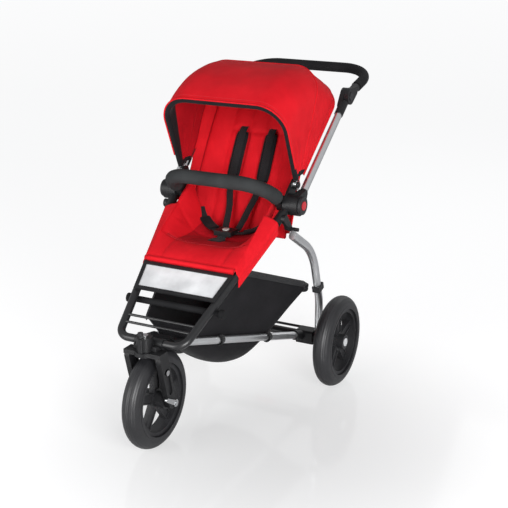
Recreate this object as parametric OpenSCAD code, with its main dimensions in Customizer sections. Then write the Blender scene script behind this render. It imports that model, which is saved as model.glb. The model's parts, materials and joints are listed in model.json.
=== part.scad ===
// Three-wheeled folding baby stroller

/* [Wheels] */
// Radius of each tyre
wheel_r = 150; // [142:1:156]
// Width of each tyre
tyre_w = 58; // [54:1:60]
// Wall of each tyre
tyre_wall = 4; // [3:0.5:5]
// Radius of the rim where the tyre sits
rim_r = 103; // [98:1:106]
// Width of each rim
rim_w = 44; // [40:1:46]
// Height of the rim's flanges
flange_h = 6; // [4:0.5:7]
// Wall of the rim
rim_wall = 5; // [4:0.5:6]
// Distance between the tread's grooves
tread_pitch = 9; // [8:0.5:10]
// Radius of the tread's grooves
tread_groove = 1.5; // [1:0.1:2]
// Number of spokes in a wheel
spoke_count = 5; // [4:1:7]
// Width of a spoke at the hub
spoke_w = 33; // [30:1:34]
// Width of a spoke at the rim
spoke_tip_w = 27; // [20:1:34]
// Thickness of a spoke's web
spoke_t = 9; // [6:1:12]
// Width of the ribs along a spoke's edges
spoke_rib = 4; // [3:0.5:6]
// Radius of each hub
hub_r = 24; // [22:1:27]
// Width of the front hub
front_hub_w = 82; // [76:1:84]
// Width of each rear hub
rear_hub_w = 60; // [56:1:61]
// Outer radius of a wheel bearing
bearing_r = 14; // [12:0.5:15]
// Width of a wheel bearing
bearing_w = 8; // [7:0.5:10]
// Radius of the brake rotor on each rear hub
rotor_r = 40; // [38:1:42]
// Thickness of the brake rotor
rotor_t = 5; // [4:0.5:6]
// Number of slots in the brake rotor
rotor_slots = 12; // [8:4:12]
// Radius of the slots in the brake rotor
rotor_slot_r = 5.5; // [5:0.5:6]
// Radius of each wheel axle
axle_r = 6; // [5:0.5:7]
// Distance between the front and rear axles
wheelbase = 652; // [640:1:680]
// Distance between the middles of the rear tyres
track = 586; // [584:1:600]

/* [Chassis] */
// How far the folding pivot lies ahead of the front axle
pivot_ahead = 15; // [13:0.5:17]
// Clearance between the front tyre and the fork's crown
crown_clear = 4; // [3:0.5:6]
// Thickness of the fork's crown
crown_t = 13; // [11:0.5:15]
// Height of the head casting
head_h = 42; // [38:1:46]
// Distance from the middle to the inside of each fork arm
fork_in = 44; // [43:0.5:46]
// Thickness of each fork arm
fork_t = 17; // [14:1:19]
// Length of the quick-release lever
lever_l = 52; // [46:1:60]
// Distance from the stem to the swivel lock's pin
lock_y = 20; // [19:0.5:21]
// Radius of the swivel lock's pin
lock_r = 4; // [3.5:0.5:4.5]
// Travel of the swivel lock
lock_travel = 8; // [6:0.5:9]
// How far the caster stem lies ahead of the front axle
stem_ahead = 45; // [43:0.5:48]
// Radius of the caster stem
stem_r = 9; // [8:0.5:9.5]
// Radius of the round frame tubes
tube_r = 12; // [11:0.5:12.5]
// Wall of the frame tubes
tube_wall = 1.6; // [1.2:0.1:2]
// Width of the front loop at the folding pivot
loop_w = 216; // [208:1:222]
// Radius of the front loop's corners
loop_bend = 38; // [34:1:44]
// Half of the distance between the rails at the head
rail_front_x = 40; // [36:1:44]
// Distance from the inside of each axle block to the rail in it
rail_inset = 22; // [20:0.5:24]
// How far the rails' front ends lie below the folding pivot
rail_drop = 17; // [16:0.5:19]
// Radius of the rear axle tube
axle_tube_r = 14; // [12:0.5:15]
// Height of each rear axle block
block_h = 46; // [42:1:50]
// Depth of each rear axle block
block_d = 52; // [48:1:56]
// Width of each rear axle block
block_w = 58.6; // [54:0.1:60]
// Radius of the brake bar
brake_r = 4.5; // [4:0.5:5]
// Distance of the brake bar behind the rear axle
brake_back = 60; // [58:0.5:62]
// Turn of the brake bar from off to on
brake_turn = 24; // [20:1:28]
// Travel of each push button
button_travel = 3; // [2:0.5:4]
// Depth of each button's pocket
button_depth = 9; // [8:0.5:10]

/* [Side joints] */
// Distance from the folding pivot to the side hinge, measured along the seat tubes
beam_l = 582; // [576:1:588]
// Slope of the seat tubes
beam_angle = 32.5; // [32:0.1:33.5]
// Space between the layer of the seat tubes and the layer of the handle
layer_gap = 0.5; // [0.5:0.1:1]
// Radius of the side hinge discs
hinge_r = 33; // [30:1:35]
// Radius of the side hinge pins
pin_r = 8; // [7:0.5:9]
// Distance from the side hinge to the hood's pivot
hood_arm = 66; // [62:1:70]

/* [Handle] */
// Distance from the middle of each rear tyre to the handle tube and leg beside it
leg_inset = 66.5; // [66:0.5:67]
// Distance from the side hinge to the handle's knuckle
handle_l = 462; // [440:1:480]
// Slope of the handle tubes
handle_angle = 37; // [36:0.5:38.5]
// Radius of the knuckles
knuckle_r = 27; // [25:1:30]
// Reach of the grip beyond the knuckles
grip_l = 232; // [215:1:245]
// Slope of the grip
grip_angle = 14; // [10:1:18]
// Radius of the grip's corners
grip_bend = 105; // [95:1:115]
// Radius of the grip's tube
grip_tube_r = 11; // [10:0.5:12]
// Radius of the grip's foam sleeve
grip_r = 17; // [15:0.5:19]

/* [Hood] */
// Distance from the outer side of the hood's cloth to the outer side of the seat tubes
hood_inset = 2; // [1.9:0.1:2.1]
// Radius of the hoop rods
hoop_r = 2.8; // [2.4:0.1:3]
// Reach of the front hoop from the hood's pivot
front_hoop_l = 276; // [264:1:284]
// Lean of the front hoop
front_hoop_angle = 114; // [110:1:118]
// Reach of the middle hoop from the hood's pivot
mid_hoop_l = 368; // [356:1:376]
// Lean of the middle hoop
mid_hoop_angle = 65; // [60:1:70]
// Reach of the rear hoop from the hood's pivot
rear_hoop_l = 398; // [380:1:404]
// Lean of the rear hoop
rear_hoop_angle = 42; // [41:0.5:44]
// Radius of the hoops' corners
hoop_bend = 85; // [70:1:95]
// Thickness of the hood's cloth
cloth_t = 2.4; // [2:0.5:4]

/* [Bumper bar] */
// Reach of the bumper bar from the side hinges
bumper_l = 150; // [140:1:158]
// Slope of the bumper bar
bumper_angle = 147; // [142:1:150]
// Radius of the bumper bar's foam sleeve
bumper_r = 22; // [19:1:23]
// Radius of the bumper bar's tube
bumper_tube_r = 11; // [9:0.5:12]
// Radius of the bumper bar's corners
bumper_bend = 90; // [80:1:98]

/* [Seat] */
// Thickness of the seat and back pads
pad_t = 20; // [16:1:24]
// Length of the back pad
back_l = 470; // [450:1:480]
// Slope of the back pad
back_angle = 62; // [60:1:66]
// Distance from the seat tubes' layer to the edge of the back pad
back_inset = 34; // [30:1:40]
// Distance from the seat tubes' layer to the edge of the seat pad
seat_inset = 44; // [42:1:46]
// Distance of the seat's crease behind the side hinges
crease_back = 42.8; // [42:0.2:44]
// Distance of the seat's crease below the side hinges
crease_down = 133.3; // [132:0.1:134]
// Height of the side wings of the back and seat
wing = 30; // [24:1:32]

/* [Rear legs] */
// Width of the oval leg tubes
leg_w = 23; // [20:0.5:23.5]
// Depth of the oval leg tubes
leg_d = 29; // [26:0.5:31]
// Distance of each leg's tip ahead of the side hinge
tip_ahead = 31.7; // [31:0.1:33]
// Distance of each leg's tip below the side hinge
tip_below = 87.3; // [87:0.1:89]
// Length of the straight in the middle of each leg
leg_middle = 95; // [88:1:100]

/* [Basket] */
// Distance of the basket's front edge behind the folding pivot
basket_start = 115; // [106:1:130]
// Distance of the basket's rear edge ahead of the rear axle
basket_stop = 38; // [34:1:56]
// Height of the basket's rear edge above the rear axle
basket_rise = 192; // [180:1:200]
// Distance from the seat tubes' layer to the basket's rear corners
basket_inset = 6; // [0:1:12]
// Sag of the basket below the rails
basket_sag = 88; // [70:1:94]

/* [Foot panel] */
// Distance from the folding pivot to the foot panel
panel_at = 165; // [158:1:172]
// Height of the foot panel, measured along the seat tubes
panel_l = 100; // [92:1:106]
// Thickness of the foot panel
panel_t = 3; // [2:0.5:5]

/* [Fits] */
// Radial clearance of what turns on a pin
run_gap = 0.06; // [0.03:0.01:0.08]
// Clearance between seated parts
seat_gap = 0.1; // [0.05:0.05:0.2]
// Clearance between parts that pass each other
pass_gap = 0.4; // [0.3:0.1:0.6]

/* [Hidden] */
$fn = 64;
front_y = -wheelbase / 2;
rear_y = wheelbase / 2;
head_low = 2 * wheel_r + crown_clear + crown_t + pass_gap;
head_high = head_low + head_h;
boss_r = 24;
sleeve_wall = 3.2;
hinge_half = 46;
link_half = 38;
link_t = 14;
socket_l = 36;
rail_ahead = 60;
crown_r = 30;
pivot = [front_y - pivot_ahead, head_low + tube_r + sleeve_wall];
stem_y = front_y - stem_ahead;
handle_x = track / 2 - leg_inset;
side_x = handle_x - 2 * tube_r - layer_gap;
hood_x = side_x + tube_r - hood_inset;
back_x = side_x - back_inset;
seat_half = side_x - seat_inset;
side = pivot + beam_l * [cos(beam_angle), sin(beam_angle)];
hood_pivot = side + hood_arm * [cos(52), sin(52)];
knuckle = side + handle_l * [cos(handle_angle), sin(handle_angle)];
// Furthest point of the grip, and the middle of the whole length
back_end = knuckle[0] + grip_l * cos(grip_angle) + grip_r;
mid_y = (back_end + front_y - wheel_r) / 2;
rail_front_z = pivot[1] - rail_drop;
// The layers at each side hinge, from the inside out: bumper end, side block, handle ear, cap
block_x = side_x - tube_r;
ear_x = side_x + tube_r + pass_gap;
cap_x = handle_x + tube_r + pass_gap;
bumper_x = block_x - 4.4;
bumper_t = 20;
cap_t = 9;
hood_lug = 7;
hoop_step = 2 * hoop_r + pass_gap;
block_out = handle_x - leg_w / 2 - pass_gap;
block_in = block_out - block_w;
rail_rear_x = block_in + rail_inset;
rail_l = norm([rail_rear_x - rail_front_x, rear_y - pivot[0] - rail_ahead, rail_front_z - wheel_r]);
brake_axis = [rear_y + brake_back, wheel_r];
// The brake's teeth move straight towards the hub, so this is the side of a right triangle
tooth_l = sqrt(pow(brake_back, 2) - pow(rotor_r - 1, 2));
tooth_w = 5;
brake_end = track / 2 - rear_hub_w / 2 + rotor_t;
seat_crease = side + [crease_back, -crease_down];
flare = atan((side_x - loop_w / 2) / beam_l);
loop_turn = 90 - flare;
loop_trim = loop_bend * tan(loop_turn / 2);

block_reach = 44;
ear_reach = 46;
hood_pin_r = 5;
rear_hoop_x = block_x + hood_lug / 2;
leg_pin_r = 9;
// How far the hood's cloth lies outside its hoops
hood_over = 8;
foot_bar_at = [48, 74];
foot_bar_r = 4;
foot_bar_up = 5;
calf_r = 10;
calf_half = 165;
// The bow of one leg, from the axle up to its tip below the seat tube. Its two outer
// straights are as long as it takes to end there.
leg_turns = [17.5, 41];
leg_bends = [150, 190];
leg_lean = leg_turns[0] + leg_turns[1];
leg_over = leg_bends[0] * (1 - cos(leg_turns[0])) + leg_middle * sin(leg_turns[0])
    + leg_bends[1] * (cos(leg_turns[0]) - cos(leg_lean));
leg_up = leg_bends[0] * sin(leg_turns[0]) + leg_middle * cos(leg_turns[0])
    + leg_bends[1] * (sin(leg_lean) - sin(leg_turns[0]));
leg_last = (rear_y - side[0] + tip_ahead - leg_over) / sin(leg_lean);
leg_first = side[1] - tip_below - wheel_r - leg_up - leg_last * cos(leg_lean);
leg_runs = [[leg_first, -leg_turns[0], leg_bends[0]], [leg_middle, -leg_turns[1], leg_bends[1]],
    [leg_last, 0, 0]];
function leg_step(stop, p, a, i = 0) = i >= stop ? [p, a] : let (
        q = p + leg_runs[i][0] * [cos(a), sin(a)], turn = -leg_runs[i][1], r = leg_runs[i][2],
        c = q + r * [-sin(a), cos(a)])
    leg_step(stop, turn > 0 ? c + r * [sin(a + turn), -cos(a + turn)] : q, a + turn, i + 1);
leg_end = leg_step(len(leg_runs), [rear_y, wheel_r], 90);
stud_r = 6;
stud = leg_end[0] - 8 * [cos(leg_end[1]), sin(leg_end[1])]
    + (leg_d / 2 + stud_r + pass_gap) * [sin(leg_end[1]), -cos(leg_end[1])];
stud_back = 62;
clip_at = 24;
// How far the seat's middle hangs below the seat tubes at shares of its length
seat_from = pivot[0] + (panel_at + panel_l) * cos(beam_angle) + 1.5;
seat_to = seat_crease[0] - 16.7;
seat_rows = [for (r = [[0, -15], [0.14, -8], [0.295, 12], [0.449, 50], [0.637, 92], [0.825, 118], [1, 156]])
    [seat_from + r[0] * (seat_to - seat_from), r[1]]];
buckle_y = seat_from + 0.767 * (seat_to - seat_from);
strap_rows = [for (n = [0:4]) seat_from + (0.466 + 0.052 * n) * (seat_to - seat_from)];
basket_front = pivot[0] + basket_start;
basket_back = rear_y - basket_stop;
basket_back_z = wheel_r + basket_rise;
basket_top_x = side_x - basket_inset;

// ---- shared shapes ----

// Moves a part from the chassis layout to the stroller's own origin
module place() {
    translate([0, -mid_y, 0]) children();
}

module both_sides() {
    children();
    mirror([1, 0, 0]) children();
}

// A flat shape stood up across the x axis, its own x turned to point down
module along_x(from, to) {
    translate([from, 0, 0]) rotate([0, 90, 0]) linear_extrude(to - from) children();
}

module rod_x(from, to, r) {
    translate([from, 0, 0]) rotate([0, 90, 0]) cylinder(h = to - from, r = r);
}

// Lays a drawing of the side view, with y to the right and z up, between two widths
module side_view(from, to) {
    translate([from, 0, 0]) rotate([90, 0, 90]) linear_extrude(to - from) children();
}

// A plane through a side-view point, whose y axis climbs at an angle
module climb(point, angle) {
    translate([0, point[0], point[1]]) rotate([angle, 0, 0]) children();
}

module ring(r, wall) {
    difference() {
        circle(r);
        circle(r - wall);
    }
}

// Two discs joined by their outer tangents
module link(p, r1, q, r2) {
    d = norm(q - p);
    a = atan2(q[1] - p[1], q[0] - p[0]);
    b = acos((r1 - r2) / d);
    translate(p) circle(r1);
    translate(q) circle(r2);
    polygon([for (s = [b, -b]) each s > 0
        ? [p + r1 * [cos(a + s), sin(a + s)], q + r2 * [cos(a + s), sin(a + s)]]
        : [q + r2 * [cos(a + s), sin(a + s)], p + r1 * [cos(a + s), sin(a + s)]]]);
}

// A bent tube along +y. Each run is [straight length, turn, bend radius];
// a positive turn goes towards +x. The child is the tube's section, and a thin band
// joins each straight length to its bend.
module bent(runs, i = 0, band = 1.003) {
    length = runs[i][0];
    turn = runs[i][1];
    radius = runs[i][2];
    s = sign(turn);
    a = abs(turn);
    rotate([-90, 0, 0]) linear_extrude(length) children();
    translate([0, length, 0]) {
        if (a > 0)
            rotate([-90, 0, 0]) linear_extrude(1, center = true) scale(band) children();
        if (a > 0)
            translate([s * radius, 0, 0]) rotate(s > 0 ? 180 - a : 0)
                rotate_extrude(angle = a) translate([radius, 0]) children();
        if (i + 1 < len(runs))
            translate([s * radius * (1 - cos(a)), radius * sin(a), 0]) rotate(-s * a) {
                rotate([-90, 0, 0]) linear_extrude(1, center = true) scale(band) children();
                bent(runs, i + 1, band) children();
            }
    }
}

// A closed shell between two grids of points, the outer one first
module shell(outer, inner, flip = false) {
    m = len(outer[0]);
    n = len(outer);
    k = m * n;
    quads = concat(
        [for (i = [0:n - 2], j = [0:m - 2]) let (a = i * m + j) [a, a + 1, a + m + 1, a + m]],
        [for (i = [0:n - 2], j = [0:m - 2]) let (a = k + i * m + j) [a, a + m, a + m + 1, a + 1]],
        [for (j = [0:m - 2]) [j + 1, j, k + j, k + j + 1]],
        [for (j = [0:m - 2]) let (a = (n - 1) * m + j) [a, a + 1, k + a + 1, k + a]],
        [for (i = [0:n - 2]) let (a = i * m) [a, a + m, k + a + m, k + a]],
        [for (i = [0:n - 2]) let (a = i * m + m - 1) [a + m, a, k + a, k + a + m]]);
    polyhedron([for (g = [outer, inner], row = g) each row],
        [for (q = quads) each flip
            ? [[q[0], q[1], q[2]], [q[0], q[2], q[3]]]
            : [[q[2], q[1], q[0]], [q[3], q[2], q[0]]]]);
}

// A straight tube or rod between two points
module between(p, q, trim = [0, 0]) {
    d = q - p;
    l = norm(d);
    translate(p) rotate([0, acos(d[2] / l), atan2(d[1], d[0])])
        translate([0, 0, trim[0]]) linear_extrude(l - trim[0] - trim[1]) children();
}

// The path of one seat tube, along +y from where it would meet the loop's front
module seat_tube_line() {
    climb(pivot, beam_angle) translate([loop_w / 2, 0, 0]) rotate(-flare) children();
}

// ---- wheels ----

module tyre() {
    crown = tyre_w / 2;
    bead_x = rim_w / 2 - rim_wall - seat_gap;
    shelf = rim_r + flange_h + 1;
    rotate([0, 90, 0]) rotate_extrude($fn = 96) difference() {
        union() {
            intersection() {
                translate([wheel_r - crown, 0]) ring(crown, tyre_wall);
                translate([shelf, -crown]) square([crown * 2, crown * 2]);
            }
            for (s = [-1, 1]) {
                translate([shelf + tyre_wall, s * (bead_x + crown - tyre_wall) / 2])
                    square([2 * tyre_wall, crown - 1.5 * tyre_wall - bead_x / 2 + 3], center = true);
                translate([rim_r + seat_gap, s * (bead_x - 3) - 3])
                    square([shelf - rim_r + 1.5 * tyre_wall, 6]);
            }
        }
        for (x = [-2 : 2])
            translate([wheel_r + 1, x * tread_pitch]) circle(tread_groove, $fn = 24);
    }
}

module rim(hub_w, button_depth, brake = false) {
    bed = rim_r - rim_wall;
    difference() {
        union() {
            rotate([0, 90, 0]) {
                rotate_extrude($fn = 96) {
                    translate([bed, -rim_w / 2]) square([rim_wall, rim_w]);
                    for (s = [-1, 1])
                        translate([bed, s * (rim_w - rim_wall) / 2 - rim_wall / 2])
                            square([rim_wall + flange_h, rim_wall]);
                }
                cylinder(h = hub_w, r = hub_r, center = true);
            }
            along_x(-spoke_t / 2 - spoke_rib, spoke_t / 2 + spoke_rib)
                for (n = [0:spoke_count - 1]) rotate(n * 360 / spoke_count) spoke_outline(0);
            if (brake)
                rod_x(-hub_w / 2, -hub_w / 2 + rotor_t, rotor_r);
        }
        for (turn = [0, 180]) rotate([0, 0, turn]) along_x(spoke_t / 2, spoke_t / 2 + spoke_rib + 1)
            for (n = [0:spoke_count - 1]) rotate(n * 360 / spoke_count) spoke_outline(spoke_rib);
        rod_x(-hub_w, hub_w, bearing_r - 3);
        for (s = [-1, 1]) {
            edge = hub_w / 2 - (s > 0 ? button_depth : 0);
            rod_x(s > 0 ? edge - bearing_w : -edge - 1, s > 0 ? hub_w : -edge + bearing_w,
                bearing_r + seat_gap / 2);
        }
        if (brake)
            for (n = [0:rotor_slots - 1])
                rotate([n * 360 / rotor_slots - 90 + acos(tooth_l / brake_back), 0, 0])
                translate([0, rotor_r, 0]) rod_x(-hub_w / 2 - 1, -hub_w / 2 + rotor_t + 1, rotor_slot_r);
    }
}

// One tapered spoke from inside the hub to the rim's bed, inset all round
module spoke_outline(inset) {
    tip = rim_r - rim_wall + 1;
    w0 = spoke_w / 2 - inset;
    w1 = spoke_tip_w / 2 - inset;
    start = hub_r + (inset > 0 ? 6 : -12);
    stop = tip - (inset > 0 ? inset + 4 : 0);
    polygon([[-start, -w0], [-stop, -w1], [-stop, w1], [-start, w0]]);
}

module bearings(hub_w, button_depth) {
    for (s = [-1, 1]) {
        edge = hub_w / 2 - (s > 0 ? button_depth : 0);
        from = s > 0 ? edge - bearing_w : -edge;
        difference() {
            rod_x(from, from + bearing_w, bearing_r);
            rod_x(from - 1, from + bearing_w + 1, axle_r + run_gap);
            for (f = [from - 1, from + bearing_w - 0.6]) along_x(f, f + 1.6)
                difference() {
                    circle(bearing_r - 2);
                    circle(axle_r + 2);
                }
        }
    }
}

module at_front() { translate([0, front_y, wheel_r]) children(); }

// s is 1 for the left wheel, at +x, and -1 for the right one
module at_rear(s) { mirror([s < 0 ? 1 : 0, 0, 0]) translate([track / 2, rear_y, wheel_r]) children(); }

module front_tyre() { place() color("#242426") at_front() tyre(); }
module front_rim() { place() color("#3a3b3d") at_front() rim(front_hub_w, 0); }
module front_bearings() { place() color("silver") at_front() bearings(front_hub_w, 0); }
module rear_tyre(s) { place() color("#242426") at_rear(s) tyre(); }
module rear_rim(s) { place() color("#3a3b3d") at_rear(s) rim(rear_hub_w, button_depth, true); }
module rear_bearings(s) { place() color("silver") at_rear(s) bearings(rear_hub_w, button_depth); }

module wheel_button(s) {
    place() color("#8f9194") at_rear(s)
        rod_x(rear_hub_w / 2 - button_depth + button_travel + 1, rear_hub_w / 2 + 2,
            bearing_r - 0.5);
}

// ---- caster ----

arm_top = [stem_y + 6, head_low - pass_gap - 21];

module swivel_stem() {
    place() color("silver") translate([0, stem_y, 0]) {
        translate([0, 0, head_low - crown_t - pass_gap])
            cylinder(h = head_h + crown_t + 2, r = stem_r);
        translate([0, 0, head_high + seat_gap]) cylinder(h = 5, r = stem_r + 2);
    }
}

module fork_side() {
    axle = [front_y, wheel_r];
    difference() {
        side_view(fork_in, fork_in + fork_t) link(arm_top, 21, axle, 19);
        side_view(fork_in + fork_t - 5, fork_in + fork_t + 1)
            link(arm_top * 0.7 + axle * 0.3, 12, arm_top * 0.25 + axle * 0.75, 9);
        translate([0, axle[0], axle[1]]) rod_x(fork_in - 1, fork_in + fork_t + 1, axle_r + seat_gap);
    }
}

module fork() {
    place() color("#202022") difference() {
        union() {
            both_sides() fork_side();
            translate([0, 0, head_low - crown_t - pass_gap]) linear_extrude(crown_t) {
                translate([-fork_in - fork_t, stem_y - 18]) square([2 * (fork_in + fork_t), 40]);
                translate([0, stem_y]) circle(crown_r);
            }
        }
        translate([0, stem_y, 0]) {
            translate([0, 0, head_low - 2 * crown_r]) cylinder(h = 2 * head_h, r = stem_r + seat_gap);
            for (s = [-1, 1]) translate([0, s * lock_y, head_low - crown_t - 0.9])
                cylinder(h = crown_t + 1, r = lock_r + seat_gap);
        }
    }
}

module fork_bolts() {
    bolt = 0.7 * arm_top + 0.3 * [front_y, wheel_r];
    place() color("#c9cbce") both_sides() translate([0, bolt[0], bolt[1]])
        rod_x(fork_in + fork_t - 5 + seat_gap, fork_in + fork_t + 4, 8);
}

module front_axle() {
    place() color("silver") at_front() {
        rod_x(-fork_in - fork_t - 4, fork_in + fork_t + 14, axle_r);
        rod_x(-fork_in - fork_t - 9, -fork_in - fork_t - seat_gap, 11);
        both_sides() rod_x(front_hub_w / 2 + pass_gap, fork_in - seat_gap, axle_r + 4);
    }
}

module quick_release() {
    place() color("#b9bbbe") at_front() difference() {
        union() {
            rod_x(fork_in + fork_t + seat_gap, fork_in + fork_t + 12, 11);
            side_view(fork_in + fork_t + 5, fork_in + fork_t + 12)
                link([0, 0], 8, lever_l * [cos(150), sin(150)], 6);
        }
        rod_x(0, fork_in + fork_t + 30, axle_r + run_gap);
    }
}

module swivel_lock() {
    place() color("#3b3b3e") translate([0, stem_y - lock_y, 0]) {
        translate([0, 0, head_low + 1]) cylinder(h = head_h + lock_travel + 3, r = lock_r);
        translate([0, 0, head_high + lock_travel + 2]) cylinder(h = 8, r = lock_r + 4);
    }
}

// ---- chassis ----

module rail_line(s, trim) {
    between([s * rail_rear_x, rear_y, wheel_r], [s * rail_front_x, pivot[0] + rail_ahead, rail_front_z], trim)
        children();
}

module head() {
    place() color("#222224") difference() {
        union() {
            translate([0, stem_y, head_low]) cylinder(h = head_h, r = boss_r);
            translate([0, pivot[0], pivot[1]]) rod_x(-hinge_half, hinge_half, tube_r + sleeve_wall);
            translate([-link_half, stem_y, head_low])
                cube([2 * link_half, pivot[0] - stem_y + rail_ahead + 6, link_t]);
            translate([0, stem_y - lock_y, head_low]) cylinder(h = head_h, r = lock_r + 5);
            for (s = [-1, 1]) rail_line(s, [rail_l - socket_l, -14]) circle(tube_r + 4);
        }
        translate([0, stem_y, head_low - 1]) cylinder(h = head_h + 2, r = stem_r + run_gap);
        translate([0, stem_y - lock_y, head_low - 1])
            cylinder(h = head_h + 2, r = lock_r + run_gap);
        translate([0, pivot[0], pivot[1]]) rod_x(-hinge_half - 14, hinge_half + 14, tube_r + run_gap);
        for (s = [-1, 1]) rail_line(s, [rail_l - socket_l - 44, 8]) circle(tube_r + seat_gap);
    }
}

module rails() {
    place() color("#e4e5e7") for (s = [-1, 1])
        rail_line(s, [block_d / 2 + 4, 8 + seat_gap]) ring(tube_r, tube_wall);
}

module rear_axle() {
    place() color("#2a2b2d") translate([0, rear_y, wheel_r])
        along_x(-block_in + seat_gap, block_in - seat_gap) ring(axle_tube_r, 2.5);
}

module stub_axles() {
    place() color("silver") both_sides() translate([0, rear_y, wheel_r]) {
        rod_x(block_in + 8, track / 2 + rear_hub_w / 2 - button_depth, axle_r);
        rod_x(block_out - 6, track / 2 - rear_hub_w / 2 - pass_gap, leg_pin_r);
    }
}

module axle_blocks() {
    place() color("#1f1f21") both_sides() difference() {
        union() {
            side_view(block_in, block_out) translate([rear_y, wheel_r])
                offset_box(block_d, block_h, 8);
            side_view(block_out - 14, block_out) link([rear_y, wheel_r], 20, brake_axis, 11);
            rail_line(1, [block_d / 2 - 6, rail_l - block_d / 2 - 34]) circle(tube_r + 4);
        }
        rail_line(1, [block_d / 2 + 4 - seat_gap, 0]) circle(tube_r + seat_gap);
        translate([0, rear_y, wheel_r]) {
            rod_x(block_in + 8 - seat_gap, block_out + 1, axle_r + seat_gap);
            rod_x(block_out - 6 - seat_gap, block_out + 1, leg_pin_r + seat_gap);
        }
        translate([0, brake_axis[0], brake_axis[1]]) rod_x(0, 300, brake_r + run_gap);
    }
}

// A box drawn in the side view with rounded corners
module offset_box(w, h, r) {
    square([w - 2 * r, h], center = true);
    square([w, h - 2 * r], center = true);
    for (x = [-1, 1], y = [-1, 1]) translate([x * (w / 2 - r), y * (h / 2 - r)]) circle(r);
}

// Height of the rails at a distance along the stroller, and their distance apart
function rail_at(y) = let (t = (rear_y - y) / (rear_y - pivot[0] - 60))
    [rail_rear_x + t * (rail_front_x - rail_rear_x), wheel_r + t * (rail_front_z - wheel_r)];
function tube_z(y) = pivot[1] + (y - pivot[0]) * tan(beam_angle);
function tube_x(y) = loop_w / 2 + (y - pivot[0]) / cos(beam_angle) * tan(flare);

// Height of the basket's floor at fraction f of its length
function basket_floor(y, f) = rail_at(y)[1] - 10 - basket_sag * sin(180 * f)
    + (basket_back_z - wheel_r - 24) * pow(max(0, f - 0.6) / 0.4, 1.5);

// One cross-section of the basket, from edge to edge, inset by a thickness
function basket_row(y, f, t) = let (
        rail = rail_at(y), low = basket_floor(y, f),
        top_z = min(tube_z(y) - 52, basket_back_z + (basket_back - y) * 0.4),
        front_x = tube_x(basket_front) - 45,
        top_x = front_x + f * (basket_top_x - front_x),
        w = rail[0] - tube_r - 7.3,
        bend_z = max(rail[1], low + (top_z - low) * 0.3),
        bend_x = w + (top_x - w) * (bend_z - rail[1]) / (top_z - rail[1]),
        half = [[top_x, top_z], [(bend_x + top_x) / 2, (top_z + bend_z) / 2], [bend_x, bend_z],
                [bend_x * 0.86, bend_z - (bend_z - low) * 0.55], [bend_x * 0.5, low + (bend_z - low) * 0.08]])
    [for (p = half) [-p[0] + t, y, p[1] + t],
     [0, y, low + t],
     for (n = [4:-1:0]) [half[n][0] - t, y, half[n][1] + t]];

function basket_grid(t) = [for (i = [0:10]) let (f = i / 10)
    basket_row(basket_front + t + f * (basket_back - basket_front - 2 * t), f, t)];

module basket() {
    place() color("#26262a") shell(basket_grid(0), basket_grid(cloth_t), true);
}

module brake_bar() {
    place() color("#2b2b2d") {
        translate([0, brake_axis[0], brake_axis[1]])
            rod_x(-brake_end, brake_end, brake_r);
        both_sides() translate([0, brake_axis[0], brake_axis[1]])
            side_view(track / 2 - rear_hub_w / 2 + 0.3, track / 2 - rear_hub_w / 2 + rotor_t - 0.3)
                rotate(180 + acos(tooth_l / brake_back) + brake_turn) {
                    circle(brake_r + 3);
                    polygon([[0, brake_r], [tooth_l + tooth_w / 2, 11], [tooth_l + tooth_w / 2, -tooth_w / 2],
                        [tooth_l - tooth_w / 2, -tooth_w / 2], [tooth_l - tooth_w / 2, 4], [0, -brake_r]]);
                }
    }
}

module brake_pedal() {
    place() color("#b3171c") difference() {
        side_view(-34, 34) translate(brake_axis) {
            circle(brake_r + 5);
            rotate(28) translate([0, -4]) square([46, 8]);
        }
        translate([0, brake_axis[0], brake_axis[1]]) rod_x(-40, 40, brake_r + seat_gap);
        for (x = [-24:12:24]) translate([x, brake_axis[0], brake_axis[1]]) rotate([28, 0, 0])
            translate([-2, 16, 2]) cube([4, 24, 4]);
    }
}

// ---- rear legs ----

module leg_section() {
    square([leg_d - leg_w, leg_w], center = true);
    for (s = [-1, 1]) translate([s * (leg_d - leg_w) / 2, 0]) circle(leg_w / 2);
}

module leg_path() {
    translate([0, rear_y, wheel_r]) rotate([90, 0, 90]) children();
}

module rear_legs() {
    place() color("#dfe1e4") both_sides() translate([handle_x, 0, 0]) leg_path()
        translate([0, 26, 0]) bent([[leg_runs[0][0] - 26, leg_runs[0][1], leg_runs[0][2]],
            leg_runs[1], leg_runs[2]]) leg_section();
}

// Bands round the legs that hold the basket's rear corners
module leg_clips() {
    bend = leg_step(1, [rear_y, wheel_r], 90);
    spot = bend[0] + clip_at * [cos(bend[1]), sin(bend[1])];
    place() color("#2c2d2f") both_sides() translate([handle_x, spot[0], spot[1]])
        rotate([bend[1] - 90, 0, 0]) difference() {
            translate([-leg_w / 2, -leg_d / 2 - 3, -11]) cube([leg_w + 3, leg_d + 6, 22]);
            translate([-leg_w, 0, -20]) linear_extrude(40)
                square([3 * leg_w + 2 * seat_gap, leg_d + 2 * seat_gap], center = true);
        }
}

module leg_feet() {
    place() color("#1d1d1f") both_sides() difference() {
        union() {
            translate([0, rear_y, wheel_r]) rod_x(handle_x - leg_w / 2, handle_x + leg_w / 2, 22);
            translate([handle_x - leg_w / 2, rear_y - leg_d / 2, wheel_r]) cube([leg_w, leg_d, 25.9]);
        }
        translate([0, rear_y, wheel_r]) rod_x(0, 300, leg_pin_r + run_gap);
    }
}

// ---- seat frame ----

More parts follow.
